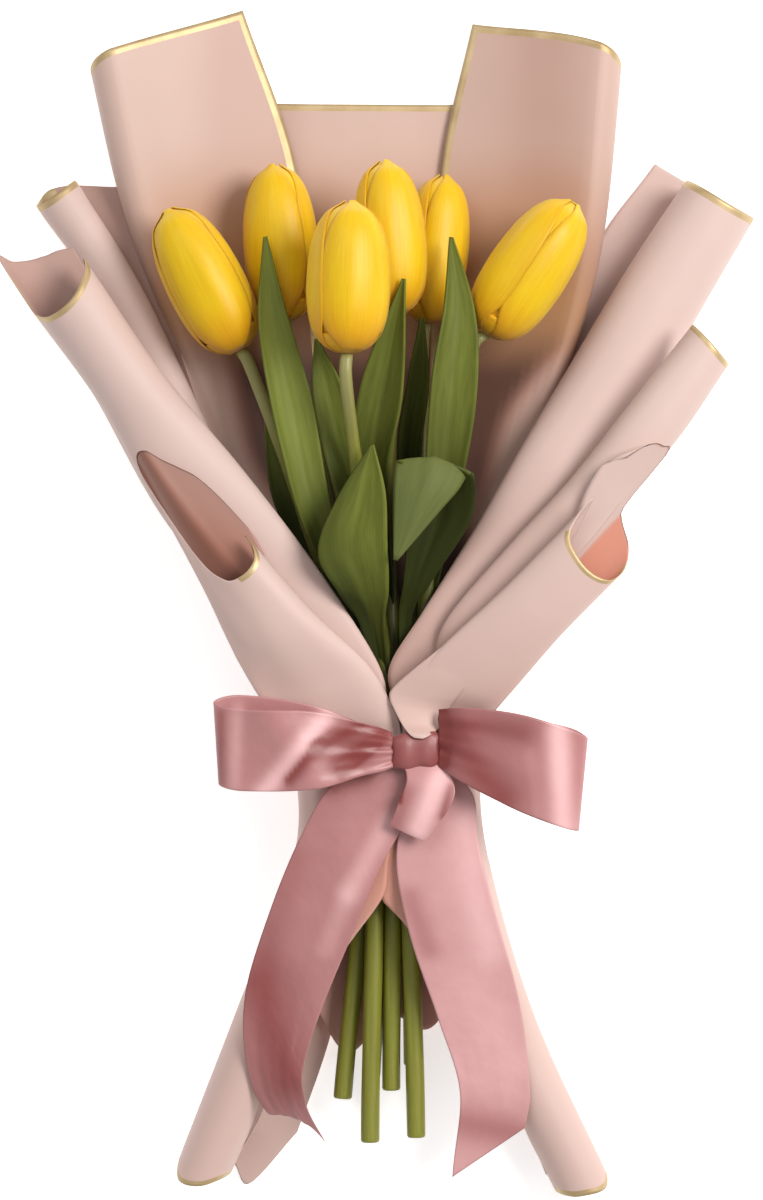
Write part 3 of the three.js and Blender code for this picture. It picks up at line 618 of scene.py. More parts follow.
def make_stalk(number, tulip):
    t = np.concatenate([[0, 0.002], np.linspace(0.005, 1, 90)])
    here, way = even_spline(stem_points(tulip), t)
    radius = STEM_RADIUS_LOW + (STEM_RADIUS_NECK - STEM_RADIUS_LOW) * smoothstep(t, 0.45, 0.95)
    radius = radius * (1 + 0.02 * np.sin(31 * t + number))
    radius[0] *= 0.9
    sides, other = frames_along(way)
    angle = round_angles(20)
    ridge = 1 + 0.025 * np.cos(5 * angle)
    ring = np.cos(angle)[:, None] * sides[:, None] + np.sin(angle)[:, None] * other[:, None]
    rings = here[:, None] + ring * (radius[:, None] * ridge)[..., None]
    tones = stacked(0.75 * in_the_wrap(here), smoothstep(here[:, 1], 55, 95))
    stalk = Build().tube(rings, tones).finish(f"stalk_{number}", [STALK, CUT], f"stem_{number}")
    for face in stalk.data.polygons:
        if len(face.vertices) == 3 and face.center.y / MM - CENTRE_ON_ORIGIN[1] < CUT_BELOW_Y:
            face.material_index = 1


def make_leaf(number, leaf):
    root, _ = even_spline(stem_points(TULIPS[leaf["tulip"]]), np.array([leaf["start"]]))
    t = np.linspace(0, 1, LEAF_ROWS)
    here, way = spline(np.vstack([root, leaf["path"]]), t)
    half = np.maximum(evenly(leaf["half"], t), LEAF_MIN_HALF)
    across = unit(array(leaf["across"]))
    up = unit(np.cross(across[None], way))
    u = np.linspace(-1, 1, LEAF_COLS)
    wave = 0.06 * np.sin(9 * t + number)[:, None] * u**2 * np.sign(u)
    lift = leaf["arch"] * u**2 + wave - 0.05 * bell(u / 0.16)
    grid = (
        here[:, None]
        + across * (u * half[:, None] * (1 - 0.3 * leaf["arch"]))[..., None]
        + up[:, None] * (lift * half[:, None])[..., None]
    )
    v = t * lengths(here)[-1] / UV_LENGTH
    uv = stacked(*np.meshgrid((u + 1) / 2 + number * 0.37, v + number))
    u, t = np.meshgrid(u, t)
    # Painted shade: each leaf's even shade, the shade of the wrap and a darker left half away from the light; the
    # folded leaf is shaded along its lower part up to the fold. Painted light makes the middle paler.
    dark, pale, left = leaf["tones"]
    shade = dark + 0.9 * in_the_wrap(grid) + left * smoothstep(-u, -0.3, 0.9)
    if number == FOLDED_LEAF:
        shade = 0.06 + 0.86 * fall(t, 0.6, 0.68)
    tones = both_sides(np.clip(shade, 0, 0.95), pale * np.sin(np.pi * t) * (1 - u**2))
    build = Build().sheet(grid, LEAF, look=lambda i, j, side: int(side == 0), uv=uv, tones=tones)
    build.finish(f"leaf_{number + 1}", [LEAF_FACE, LEAF_UNDER], f"stem_{leaf['tulip'] + 1}")


for number, tulip in enumerate(TULIPS, 1):
    make_stalk(number, tulip)
    make_bloom(number, tulip)
for number, leaf in enumerate(LEAVES):
    make_leaf(number, leaf)

# Rolled paper, as in the part's source
ROLLS = {
    "wing_left_inner": dict(
        gold=(0, 1, 3.2), lip=[(0, -60), (0.9, -75), (1, 20)],
        rim=[(-75, 0), (90, 0), (200, 4), (270, 5), (360, -14)],
        flap=[(0, 1), (0.5, 2), (0.66, 6), (0.83, 13.5), (0.93, 20), (1, 24)],
        rows=[((-7, -62, 41.8), (-15.4, -62, 41.8), 2.2), ((-10.4, -48, 41), (-18.5, -50, 41), 1.7),
              ((-19, -26, 37.4), (-33, -40, 37.4), 1.7), ((-36, 12, 31), (-52, -3, 31), 5),
              ((-63.5, 52, 25.5), (-81, 39, 25.5), 6.3), ((-103, 134, 17.5), (-117, 122.5, 17.5), 7.5),
              ((-133.3, 184.2, 11.6), (-149.1, 169.6, 11.6), 10.5)]),
    "wing_left_middle": dict(
        gold=(0, 0.72, 3), lip=[(0, -60), (0.93, -70), (1, -14)],
        rim=[(-70, 4), (-40, 2), (0, 1), (45, -5), (90, -9), (135, -7), (165, -2), (180, 2), (197, 29), (225, 24),
             (270, 17), (315, 14), (360, 10)],
        flap=[(0, 1), (0.7, 4), (1, 14)],
        rows=[((2.2, -62, 42.2), (-6.2, -62, 42.2), 2.2), ((2.4, -48, 43), (-6.6, -50, 43), 2),
              ((-1, -27, 44.4), (-19, -38, 44.8), 2), ((-27, 14, 43.5), (-60, -2, 43.5), 5),
              ((-58, 55, 44.5), (-92, 32, 44.5), 7.5), ((-94, 98, 43.5), (-120, 82, 43.5), 11.5),
              ((-127, 147, 38.5), (-150, 124, 38.5), 16)]),
    "wing_left_outer": dict(
        gold=(0, 0.38, 2.6), lip=[(0, -60), (0.88, -50), (1, -5)],
        rim=[(-50, 8), (0, 2), (50, -14), (90, -29), (120, -38), (140, -39), (155, -37), (168, -31), (180, -22),
              (190, -8), (200, 6), (225, 24), (253, 33), (270, 32), (300, 32), (325, 31), (345, 23), (360, 10)],
        flap=[(0, 4), (0.3, 10), (0.75, 14.5), (0.86, 17), (0.93, 22.5), (0.97, 26), (1, 27.5)],
        rows=[((9.2, -62, 47.6), (-22, -62, 46.9), 1.5), ((9, -56, 48), (-27, -56, 47.2), 1.6),
              ((7.4, -48, 50), (-44, -48, 49), 2.4), ((-3.5, -28, 54), (-61, -27, 52), 4.5),
              ((-29, -4, 59), (-75.5, 3.5, 58), 6.5), ((-54.8, 24.2, 63), (-97, 44, 62), 8)]),
    "wing_right_inner": dict(
        gold=(0, 1, 3.2), lip=[(0, -60), (1, -80)], rim=[(-80, 0), (90, 0), (180, 3), (270, 2), (360, 0)],
        flap=[(0, 1), (0.5, 2), (0.625, 5), (0.75, 16), (0.875, 34), (1, 32)],
        rows=[((8.6, -62, 41.8), (17, -62, 41.8), 2.2), ((6.5, -48, 42), (17, -50, 42), 2.4),
              ((2.5, -29, 42), (18, -43, 42), 2.4), ((17, -4, 42), (37, -22, 42), 3.4),
              ((41, 35, 33), (65, 13, 33), 8), ((58.7, 66, 29), (87, 44, 29), 10),
              ((78.5, 99, 18.5), (111.5, 77, 18.5), 15.5), ((105, 143, 17.5), (136, 121, 17.5), 16.2),
              ((132.2, 183.5, 17.8), (160.8, 163.7, 17.8), 17)]),
    "wing_right_middle": dict(
        gold=(0, 1, 2.6), lip=[(0, -60), (0.93, -70), (1, -14)],
        rim=[(-70, 0), (90, 0), (180, 0.5), (270, 1), (360, 1)], flap=[(0, 1), (1, 4)],
        rows=[((18.2, -62, 42.2), (26.6, -62, 42.2), 2.2), ((20.3, -50, 42.9), (29, -52, 42.9), 1.8),
              ((22.5, -27, 46.8), (34, -42, 46.8), 1.8), ((28, -7, 50), (48, -29, 50), 3),
              ((54, 24, 49), (76, 4, 49), 6), ((81, 53, 46), (100.5, 37.5, 46), 8.5),
              ((107, 86, 45), (128, 70.5, 45), 10.5), ((133.5, 119, 43), (149, 101, 43), 11.5)]),
    "wing_right_outer": dict(
        gold=(0.14, 0.76, 2.4), lip=[(0, -60), (0.88, -50), (1, -5)],
        rim=[(-50, 26), (-20, 20), (0, 12), (24, 2), (45, -5), (78, -8.5), (114, -9), (155, -5), (180, 0),
             (231, 11), (270, 17), (286, 23), (298, 50), (318, 51), (336, 49), (351, 43), (360, 36)],
        flap=[(0, 4), (0.3, 8), (0.86, 12), (0.94, 20), (0.975, 21.5), (1, 16.5)],
        rows=[((8.6, -62, 46.4), (29, -62, 46.9), 1.5), ((8.4, -56, 46.8), (33, -56, 47.4), 1.6),
              ((9, -46, 49), (46, -50, 49.5), 2.4), ((20, -26, 56), (54, -42, 55.5), 4),
              ((50, 3, 63), (77, -15, 63), 6.5), ((79.9, 34.3, 66.5), (101.9, 11, 66.5), 8)]),
    "skirt_left": dict(
        gold=(0, 0.9, 2.2), lip=[(0, 90), (0.6, 90), (0.84, 55), (1, -30)],
        rim=[(-30, 5), (60, 6), (90, 5), (135, -1), (180, -12), (225, -8), (270, 0), (300, 3), (330, 18),
             (360, -2)],
        front=[(0, 18.4), (0.25, 20), (0.5, 23), (0.575, 26.6), (0.65, 22.4), (0.72, 16.5), (0.84, 6), (1, 0.2)],
        flap=[(0, 2), (0.5, 12), (0.75, 28), (0.85, 38), (1, 42)],
        rows=[((1.5, -64, 29.1), (-35.5, -64, 29.1), 19.4), ((1.4, -76, 29), (-36, -76, 29), 19.3),
              ((0, -112, 27.5), (-38, -112, 27.5), 18.5), ((-29, -170, 22), (-64, -181, 22), 17),
              ((-62.7, -244, 17.8), (-92.5, -254, 17.8), 16)]),
    "skirt_right": dict(
        gold=(0, 0.9, 2.6), lip=[(0, 90), (0.6, 90), (0.84, 55), (1, -30)],
        rim=[(-30, 7), (60, 10), (90, 9), (135, 6), (180, -1), (225, 0), (270, 2), (360, 3)],
        front=[(0, 18), (0.25, 21), (0.5, 28), (0.57, 33), (0.61, 27.5), (0.68, 19.5), (0.76, 8), (0.84, 1),
               (1, 0.2)],
        flap=[(0, 2), (0.5, 8), (1, 14)],
        rows=[((4.6, -64, 29.1), (41.5, -64, 29.1), 19.4), ((4.6, -76, 29), (42, -76, 29), 19.3),
              ((7, -112, 27.5), (46.5, -112, 27.5), 18.5), ((33, -173, 20), (67, -181, 20), 16),
              ((71.5, -250, 13.7), (98.5, -251, 13.7), 13)]),
}
INWARD_CURL = 0.12
ROUND_STEPS = 72
FLAP_STEPS = 20
FRONT_STEPS = 14
ROLL_STEPS = 90
LAST_STEP = 0.015
BORDER_LIMITS = (0.004, 0.06)
CREASE_DEPTH = 0.25
CREASE_REACH = 40


def roll_grid(roll, t, columns):
    """Points of a roll at t along it and columns round it, both [row, column]. columns are -1 to 0 along the front
    flap, 0 to 1 round the section, and 1 to 2 along the flap."""
    flat, columns = t.ravel(), columns.ravel()
    inner, inner_way = spline([row[0] for row in roll["rows"]], flat)
    outer, outer_way = spline([row[1] for row in roll["rows"]], flat)
    height = evenly([row[2] for row in roll["rows"]], flat)
    lip = table(roll["lip"], flat)
    angle = lip + (270 - lip) * np.clip(columns, 0, 1)
    curl = 1 - INWARD_CURL * np.maximum(0, (60 - angle) / 120)
    on_flap = np.maximum(0, columns - 1)
    reach = table(roll["flap"], flat) * on_flap
    if "front" in roll:
        reach = reach + table(roll["front"], flat) * np.maximum(0, -columns)
    rim = table(roll["rim"], angle + 90 * on_flap)
    out = rim * np.where(rim < 0, flat**1.4, flat**3)
    half = (inner - outer) / 2
    points = (
        (inner + outer) / 2
        + half * (curl * np.cos(np.radians(angle)))[:, None]
        + unit(half) * reach[:, None]
        + UP * (height * curl * np.sin(np.radians(angle)))[:, None]
        + unit(inner_way + outer_way) * out[:, None]
    )
    return points.reshape(*t.shape, 3)


def creased(grid, seed):
    """Soft lengthwise creases in paper, deepest where it is gathered at the tie."""
    rows, cols = grid.shape[:2]
    near_tie = np.exp(-np.abs(grid[..., 1] - TIE_Y) / CREASE_REACH)
    u = np.linspace(0, 1, cols)[None]
    v = np.linspace(0, 1, rows)[:, None]
    wave = 2.2 * np.sin(34 * u + seed + 3 * v) * np.sin(11 * u + 2.3 * seed) * near_tie
    wave = wave + 3.6 * np.sin(7.5 * u + 1.7 * seed - 1.5 * v) * np.sin(np.pi * v) * (1 - 0.5 * near_tie)
    wave = wave + 0.3 * np.sin(9 * u + 5 * v + seed) * np.sin(4 * v + seed)
    return grid + normals(grid) * (CREASE_DEPTH * wave)[..., None]


# Painted light of the paper: shade, and a warm tint that stands for light bounced inside the wrap. The constant
# below is how much pinker that painted tint makes it at the tie.
PAINTED_BOUNCE_AT_TIE = 0.15


# Painted bounce light: a pinker tint that fades away from the tie
def painted_bounce_near_tie(grid, far=60):
    return PAINTED_BOUNCE_AT_TIE * fall(grid[..., 1], -60, far)


def skirt(t, columns, grid):
    """Painted shade inside, which fades at the far end, where the flap lies open to the light, and a painted salmon
    tint of bounced light on the front near the tie.
    """
    deep = 0.4 * fall(t, 0.6, 0.85)
    near = 0.02 * fall(t, 0.2, 0.6)
    painted_bounce = 0.72 * smoothstep(-columns, -0.15, 0.5) * fall(t, 0.55, 0.8)
    return inside_out((near, np.maximum(painted_bounce, 0.1)), (deep, 0 * t + 0.08))


def plain_roll(t, columns, grid):
    # Painted shade inside, deeper towards the tie; outside, a little painted shade and the painted bounce tint near
    # the tie
    deep = 0.25 + 0.35 * smoothstep(1 - t, 0, 0.5)
    return inside_out((0.12 * fall(grid[..., 1], -40, 90), painted_bounce_near_tie(grid, 90)), (deep, 0 * t))


def first_right(t, columns, grid):
    # Painted shade inside, deeper towards the tie; outside, painted shade near the tie and beside the lip, with the
    # painted bounce tint
    deep = 0.04 + 0.5 * smoothstep(1 - t, 0.1, 0.5)
    beside = fall(columns, 0.1, 0.4)
    near = 0.14 * fall(grid[..., 1], -40, 120) + 0.06 * beside
    return inside_out((near, np.maximum(painted_bounce_near_tie(grid, 90), 0.22 * beside)), (deep, 0 * t))


def second_left(t, columns, grid):
    # Painted shade inside, lighter only near its far end, and the painted bounce tint outside
    return inside_out((0 * t, painted_bounce_near_tie(grid)), (0.22 + 0.4 * smoothstep(1 - t, 0, 0.2), 0 * t))


def front_left(t, columns, grid):
    """Inside, painted light and shade: the near flap is less shaded at its top and a painted red-brown at the foot
    of the opening, beside a dark gap of painted shade.
    """
    down = smoothstep(1 - t, 0, 0.36)
    gap = smoothstep(columns, 0.45, 0.6) * fall(columns, 0.88 + 0.1 * down, 0.97 + 0.1 * down)
    deep = 0.32 + 0.36 * down + (0.62 - 0.15 * down) * gap
    warm = (0.12 + 0.5 * down) * (1 - gap) + (0.14 + 0.14 * down) * gap
    return far_edge(t, columns, inside_out((0 * t, 0.6 * painted_bounce_near_tie(grid)), (np.clip(deep, 0, 0.95), warm)), 0.74)


def front_right(t, columns, grid):
    """Inside, the flap is pale, with little painted shade, and the hollow beside it takes a painted salmon glow."""
    pale = smoothstep(columns, 1.02, 1.12) * fall(1 - t, 0.16, 0.3)
    pale = np.maximum(pale, 1 - smoothstep(columns, 0.3, 0.42))
    inside = (0.12 * (1 - pale) + 0.03, 0.85 * (1 - pale))
    return far_edge(t, columns, inside_out((0 * t, painted_bounce_near_tie(grid)), inside), 0.8)


def far_edge(t, columns, tones, start):
    """A thin line of painted shade along the far end of a flap."""
    line = smoothstep(columns, start, start + 0.08) * smoothstep(t, 0.996, 1)
    tones[..., 0] = np.maximum(tones[..., 0], 0.82 * line)
    tones[..., 1] = tones[..., 1] * (1 - line)
    return tones


ROLL_TONES = {
    "wing_left_middle": second_left, "wing_left_outer": front_left, "wing_right_inner": first_right,
    "wing_right_outer": front_right, "skirt_left": skirt, "skirt_right": skirt,
}
# How far a skirt's front edge is raised, and the rolls whose outer face comes second
FRONT_LIFT = {"skirt_left": 0.9, "skirt_right": -0.7}
WOUND_BACK = ["wing_right_inner", "wing_right_middle", "wing_right_outer", "skirt_left"]


def make_roll(name, roll, seed):
    """gold says from which column to which the rim has a border, and how wide it is."""
    first, last, width = roll["gold"]
    columns = ramp((0, 1, ROUND_STEPS), (1, 2, FLAP_STEPS))
    if "front" in roll:
        columns = ramp((-1, 0, FRONT_STEPS), (0, 1, ROUND_STEPS), (1, 2, FLAP_STEPS))
    every = np.ones_like(columns)[None]
    # The length of the last step along each column sets how far in its border starts
    end = roll_grid(roll, np.array([[1 - LAST_STEP], [1]]) * every, columns[None] * np.ones((2, 1)))
    speed = np.linalg.norm(end[1] - end[0], axis=-1) / LAST_STEP
    border = np.clip(width / speed, *BORDER_LIMITS)[None]
    along = np.linspace(0, 1, ROLL_STEPS)[:, None] * every
    t = np.concatenate([along * (1 - border), 1 - border / 2, every])
    cells, columns = columns, columns[None] * np.ones((len(t), 1))
    grid = creased(roll_grid(roll, t, columns), seed)
    if "front" in roll:
        grid[..., 2] += FRONT_LIFT[name] * np.clip(-columns, 0, 1) ** 2

    def look(i, j, side):
        return int(i >= len(t) - 3 and first <= cells[j] < last)

    tones = ROLL_TONES.get(name, plain_roll)(t, columns, grid)
    if name in WOUND_BACK:
        tones = tones[::-1]
    Build().sheet(grid, PAPER, look=look, tones=tones).finish(f"paper_{name}", [PAPER_LOOK, GOLD], name)


for order, (name, roll) in enumerate(ROLLS.items()):
    make_roll(name, roll, 1.3 * order)

# Back sheet, as in the part's source
REST_Z = 0.4
BACK_LEFT_X = [(-62, -24), (-26, -40), (69, -75), (108, -90), (171, -113), (240, -129)]
BACK_RIGHT_X = [(-62, 32), (18, 54), (110, 85), (158, 97), (245, 106)]
BACK_FLOOR_Z = [(-62, 15.6), (-26, 11), (20, 4), (60, REST_Z), (64, REST_Z)]
BACK_ROLL = [(-62, 11.2), (20, 9), (60, 7), (120, 7.4), (170, 9.5), (245, 11)]
FLAP_LEFT_X = [(-62, -13), (-26, -19), (20, -23), (53, -23), (187, -37), (259, -61)]
FLAP_RIGHT_X = [(-62, 22), (-26, 25), (20, 23), (53, 20), (187, 26), (253, 40)]
FLAP_Z = [(-62, 38), (-26, 30), (20, 12), (60, 4), (187, 3.2), (259, 3.2)]
BACK_TOP_Y = [(0, 259), (0.22, 240), (0.36, 222), (0.5, 218), (0.64, 221), (0.78, 243), (1, 253)]
FLAP_END = 0.22
ROLL_END = 0.36


def back_grid(u, v):
    u, v = np.meshgrid(u, v)
    y = TIE_Y + (table(BACK_TOP_Y, u) - TIE_Y) * v
    r = table(BACK_ROLL, y)
    floor = np.maximum(table(BACK_FLOOR_Z, y), REST_Z)
    left, right = table(BACK_LEFT_X, y), table(BACK_RIGHT_X, y)
    on_left = u < 0.5
    side = np.where(on_left, -1, 1)
    from_edge = np.where(on_left, u, 1 - u)
    axis = np.where(on_left, left + r, right - r)
    free = np.where(on_left, table(FLAP_LEFT_X, y), table(FLAP_RIGHT_X, y))
    flap_z = table(FLAP_Z, y)
    s = from_edge / FLAP_END
    turn = np.pi * (from_edge - FLAP_END) / (ROLL_END - FLAP_END)
    middle_x = (left + r) + (right - left - 2 * r) * (u - ROLL_END) / (1 - 2 * ROLL_END)
    flap = stacked(free + (axis - free) * s, y, flap_z + (floor + 2 * r - flap_z) * s)
    roll = stacked(axis + side * r * np.sin(turn), y, floor + r + r * np.cos(turn))
    from_edge = from_edge[..., None]
    return np.where(from_edge < FLAP_END, flap, np.where(from_edge < ROLL_END, roll, stacked(middle_x, y, floor)))


# The gold border is two cells wide at the far end and at both sides
EDGE_U = 0.012
EDGE_V = 3.2 / 300
BORDER_CELLS = 2
columns = ramp(
    (0, EDGE_U, BORDER_CELLS), (EDGE_U, FLAP_END, 24), (FLAP_END, ROLL_END, 36), (ROLL_END, 1 - ROLL_END, 60),
    (1 - ROLL_END, 1 - FLAP_END, 36), (1 - FLAP_END, 1 - EDGE_U, 14), (1 - EDGE_U, 1, BORDER_CELLS))
rows = ramp((0, 1 - EDGE_V, 90), (1 - EDGE_V, 1, BORDER_CELLS))


def bordered(i, j, side):
    last_row, last_column = len(rows) - 1 - BORDER_CELLS, len(columns) - 1 - BORDER_CELLS
    return int(j < BORDER_CELLS or i >= last_row or j >= last_column)


# Painted light: the hollow behind the stalks is deep in painted shade, the sheet behind the blooms takes a painted
# glow of their warm light, and the panels carry gentle painted shade across them
grid = back_grid(columns, rows)
x, y = grid[..., 0], grid[..., 1]
left_edge = table([(35, -40), (53, -53), (70, -60), (105, -67), (130, -70)], y)
right_edge = table([(34, 40), (49, 47), (80, 57), (100, 70), (113, 82)], y)
hollow = smoothstep(x, left_edge - 5, left_edge + 7) * fall(x, right_edge - 9, right_edge + 4)
hollow = hollow * fall(y, 96, 130) * (0.74 + 0.2 * fall(y, 20, 90))
glow = smoothstep(y, 95, 128) * fall(y, 140, 205) * smoothstep(x, -112, -88)
glow = glow * fall(x, 78, 104)
panel_shade = 0.09 * smoothstep(x, -92, -66) * fall(x, -44, -28) + 0.05 * smoothstep(x, 8, 44)
panel_shade = panel_shade + 0.12 * bell((x - 72) / 20)
shade = np.clip(hollow + (0.36 * glow + panel_shade) * (1 - hollow), 0, 1)
build = Build().sheet(grid, PAPER, look=bordered, tones=both_sides(shade, 0.45 * glow))
build.finish("paper_back", [PAPER_WITH_BLOOM_GLOW, GOLD], "back_sheet")

# Sheet behind the stems below the tie
v, u = np.meshgrid(np.linspace(0, 1, 60), np.linspace(-1, 1, 60), indexing="ij")
reach = 118 + 10 * np.cos(2.4 * u + 0.6) - 8 * np.cos(6 * u)
half_width = 20 + 16 * v
grid = stacked(TIE_X + u * half_width, -64 - v * reach, 12.9 - 3.9 * v + 0.8 * v * np.sin(5 * u))
# Painted shade near the tie, and a painted warm tint of light bounced inside the wrap
tones = both_sides(0.06 * fall(v, 0.5, 0.95), 0.42 + 0 * v)
Build().sheet(grid, PAPER, tones=tones).finish("paper_skirt_back", [PAPER_LOOK], "skirt_back")

# Ribbon strips, as in the part's source
# rows: a middle point, half a width, and the way across. wider: how much wider than its solid a strip is, along it.
# spread: how far its upper edge is drawn out over the paper. cut: how far along its cut end lies, edge to edge.
# folds: soft folds that run across it, each a place along it, a width, a height and a slant.
# held: how it is held, and what it lies on. tones: an even shade and light, then streaks of shade and of light
# where the satin bends, each how strong, from where to where in X and Y, and how wide.
STRIPS = {
    "bow_loop_left": dict(
        rows=[(4.6, -64, 57.6, 6, 0, 1, 0), (-8, -64, 64, 11, 0, 1, 0.1), (-32, -64, 69.5, 17, 0, 1, 0.1),
              (-60, -64, 67, 18, -0.04, 1, 0.1), (-70.5, -61, 61, 18, -0.06, 1, 0.1),
              (-60, -58, 57, 18, -0.04, 1, 0.12), (-32, -60, 55.6, 16, 0, 1, 0.14), (-8, -63, 53, 10, 0, 1, 0.05),
              (4.6, -64, 52.4, 6, 0, 1, 0)],
        wider=[(0, 1.25), (0.2, 1), (1, 1)], pleats=0.55, held=("folded", "bow_knot"),
        folds=[(0.17, 0.05, 1.6, 0.05), (0.27, 0.04, -1.4, 0.05), (0.36, 0.05, 1.2, 0.03)],
        tones=(0.05, 0, [
            (0.9, (-9, -53), (-27, -62), 4), (0.9, (-27, -62), (-39, -76), 3.5), (1, (0, -58), (-18, -70), 6),
            (0.9, (-17, -74), (-3, -62), 2.2), (0.5, (-68, -48), (-69, -78), 2),
        ], [
            (0.95, (-24, -50), (-50, -82), 4.2), (0.35, (-61, -46), (-63, -80), 3),
            (0.2, (-14, -68), (-24, -76), 2),
        ])),
    "bow_loop_right": dict(
        rows=[(24.4, -65, 57.6, 6, 0, 1, 0), (36, -67, 65, 11, 0.1, 1, 0.1), (58, -72, 70, 17, 0.15, 1, 0.1),
              (80, -79, 66, 18.5, 0.12, 1, 0.1), (86, -80, 60, 18.5, 0.1, 1, 0.1),
              (78, -76, 55.5, 18.5, 0.12, 1, 0.1), (58, -71, 54.6, 16, 0.12, 1, 0.1),
              (36, -66, 53, 10, 0.1, 1, 0.05), (24.4, -65, 52.4, 6, 0, 1, 0)],
        wider=[(0, 1.05), (0.2, 1), (1, 1)], pleats=0.4, held=("folded", "bow_knot"),
        spread=[(0, 12), (0.125, 10), (0.25, 6.5), (0.375, 5), (0.5, 3), (0.75, 4.5), (0.875, 7), (1, 8)],
        folds=[(0.2, 0.06, -1.5, -0.04), (0.33, 0.06, 1.3, -0.03)],
        tones=(0.2, 0, [
            (0.7, (32, -62), (51, -84), 9), (0.5, (24, -50), (60, -56), 6), (1, (25, -47), (26, -70), 3),
        ], [(0.95, (75, -56), (77, -97), 5.5), (0.2, (62, -60), (66, -92), 4)])),
    "bow_tail_left": dict(
        rows=[(7, -71.2, 51.9, 9, 1, -0.1, 0), (-4.5, -85, 51.7, 18, 1, -0.3, 0),
              (-17.5, -108, 50.5, 18.5, 1, -0.35, 0.02), (-30, -138, 47.5, 18.5, 1, -0.28, 0.04),
              (-42, -172, 43.5, 17, 1, -0.18, 0.12), (-46, -200, 42.6, 12.8, 1, 0, 0.3),
              (-41, -219, 40, 10, 1, 0.3, 0.6), (-27, -234, 36, 3, 1, 0.2, 0.8)],
        cut=((-1, -0.2, 0.5, 1), (0.865, 0.885, 0.93, 1)), pleats=0.25, held=("laid", "skirt_left"),
        folds=[(0.3, 0.1, 1, 0.1), (0.62, 0.07, -1.2, 0.06)],
        tones=(0.12, 0, [
            (0.6, (-8, -76), (-20, -80), 5), (0.75, (-52, -165), (-40, -206), 13),
            (0.3, (-38, -110), (-50, -150), 8),
        ], [(0.5, (3, -95), (-14, -126), 5), (0.3, (-14, -126), (-24, -150), 5)])),
    "bow_tail_right": dict(
        rows=[(21, -71.2, 50.2, 8, 1, 0, 0), (24, -88, 50.2, 16, 1, 0.25, 0), (24, -110, 48.8, 18.5, 1, 0.35, 0),
              (31, -141, 46.6, 19, 1, 0.3, 0), (42, -177, 41.5, 18, 1, 0.2, -0.1),
              (49, -211, 37, 15.5, 1, 0.15, -0.2), (46.3, -239, 34, 19, 1, 0.66, -0.15)],
        pleats=0.3, held=("laid", "skirt_right"), folds=[(0.35, 0.1, 1, -0.1), (0.7, 0.08, -1, -0.05)],
        tones=(0, 0.32, [(0.4, (12, -128), (20, -150), 6), (0.5, (33, -225), (62, -232), 9)],
               [(0.4, (36, -96), (46, -150), 8), (0.2, (42, -170), (56, -200), 9)])),
    "bow_fold": dict(
        rows=[(18.5, -70.4, 57, 8, 1, 0, 0), (21, -80, 60.4, 9.5, 1, -0.2, 0.1), (16, -91, 59.8, 9.5, 1, -0.4, 0.1),
              (10.8, -99.8, 57, 9.2, 1, -0.46, 0.1), (15.5, -91, 54.6, 9, 1, -0.4, 0.05),
              (19, -81, 54, 8.5, 1, -0.2, 0), (18.5, -71, 54.2, 7, 1, 0, 0)],
        wider=[(0, 1.1), (0.25, 1.1), (0.5, 0.88), (1, 0.9)], pleats=0, held=("folded", "bow_knot"), folds=[],
        tones=(0.05, 0.1, [
            (0.8, (9.5, -74), (8, -86), 1.2), (0.5, (29, -80), (26, -92), 2.2), (0.3, (10, -82), (6, -94), 4),
        ], [(1, (25, -76), (16, -98), 5)])),
}
FULL_HALF = 18.5
STRIP_ROWS = 130
STRIP_COLS = 41
UNCHANGED = [(0, 1), (1, 1)]
LEVEL = [(0, 0), (1, 0)]


def strip_grid(rows, t, u):
    """A strip's surface and half its width."""
    here, _ = spline([row[:3] for row in rows], t)
    across, _ = spline([row[4:] for row in rows], t)
    half = evenly([row[3] for row in rows], t)
    return here[:, None] + (unit(across) * half[:, None])[:, None] * u[None, :, None], half


def pleated(grid, u, half, depth, seed):
    """Folds along a strip where it is drawn narrower than its full width."""
    drawn = np.clip(1 - half / FULL_HALF, 0, 0.7)[:, None]
    fold = np.sin(9 * u + seed) + 0.6 * np.sin(16 * u + 2 * seed)
    return grid + normals(grid) * (depth * drawn * fold)[..., None]


def swept(grid, t, u, folds):
    """Long soft folds that run across a strip."""
    rise = np.zeros(grid.shape[:2])
    for place, width, height, slant in folds:
        rise += height * bell((t[:, None] - place - slant * u) / width)
    return grid + normals(grid) * rise[..., None]


def streaked(grid, even, streaks):
    """An even tone and streaks on it, each strongest along its line and fading out across its width."""
    for strength, start, end, width in streaks:
        place = grid[..., :2] - start
        way = array(end) - start
        along = np.clip(place @ way / (way @ way), 0, 1)
        even = even + strength * bell(np.linalg.norm(place - along[..., None] * way, axis=-1) / width)
    return even


def area_of(grid):
    """Area of a sheet in square metres, and its length along the middle in metres."""
    cells = np.cross(np.diff(grid, axis=0)[:, :-1], np.diff(grid, axis=1)[:-1])
    length = lengths(grid[:, grid.shape[1] // 2])[-1]
    return float(np.linalg.norm(cells, axis=-1).sum()) * MM * MM, float(length) * MM


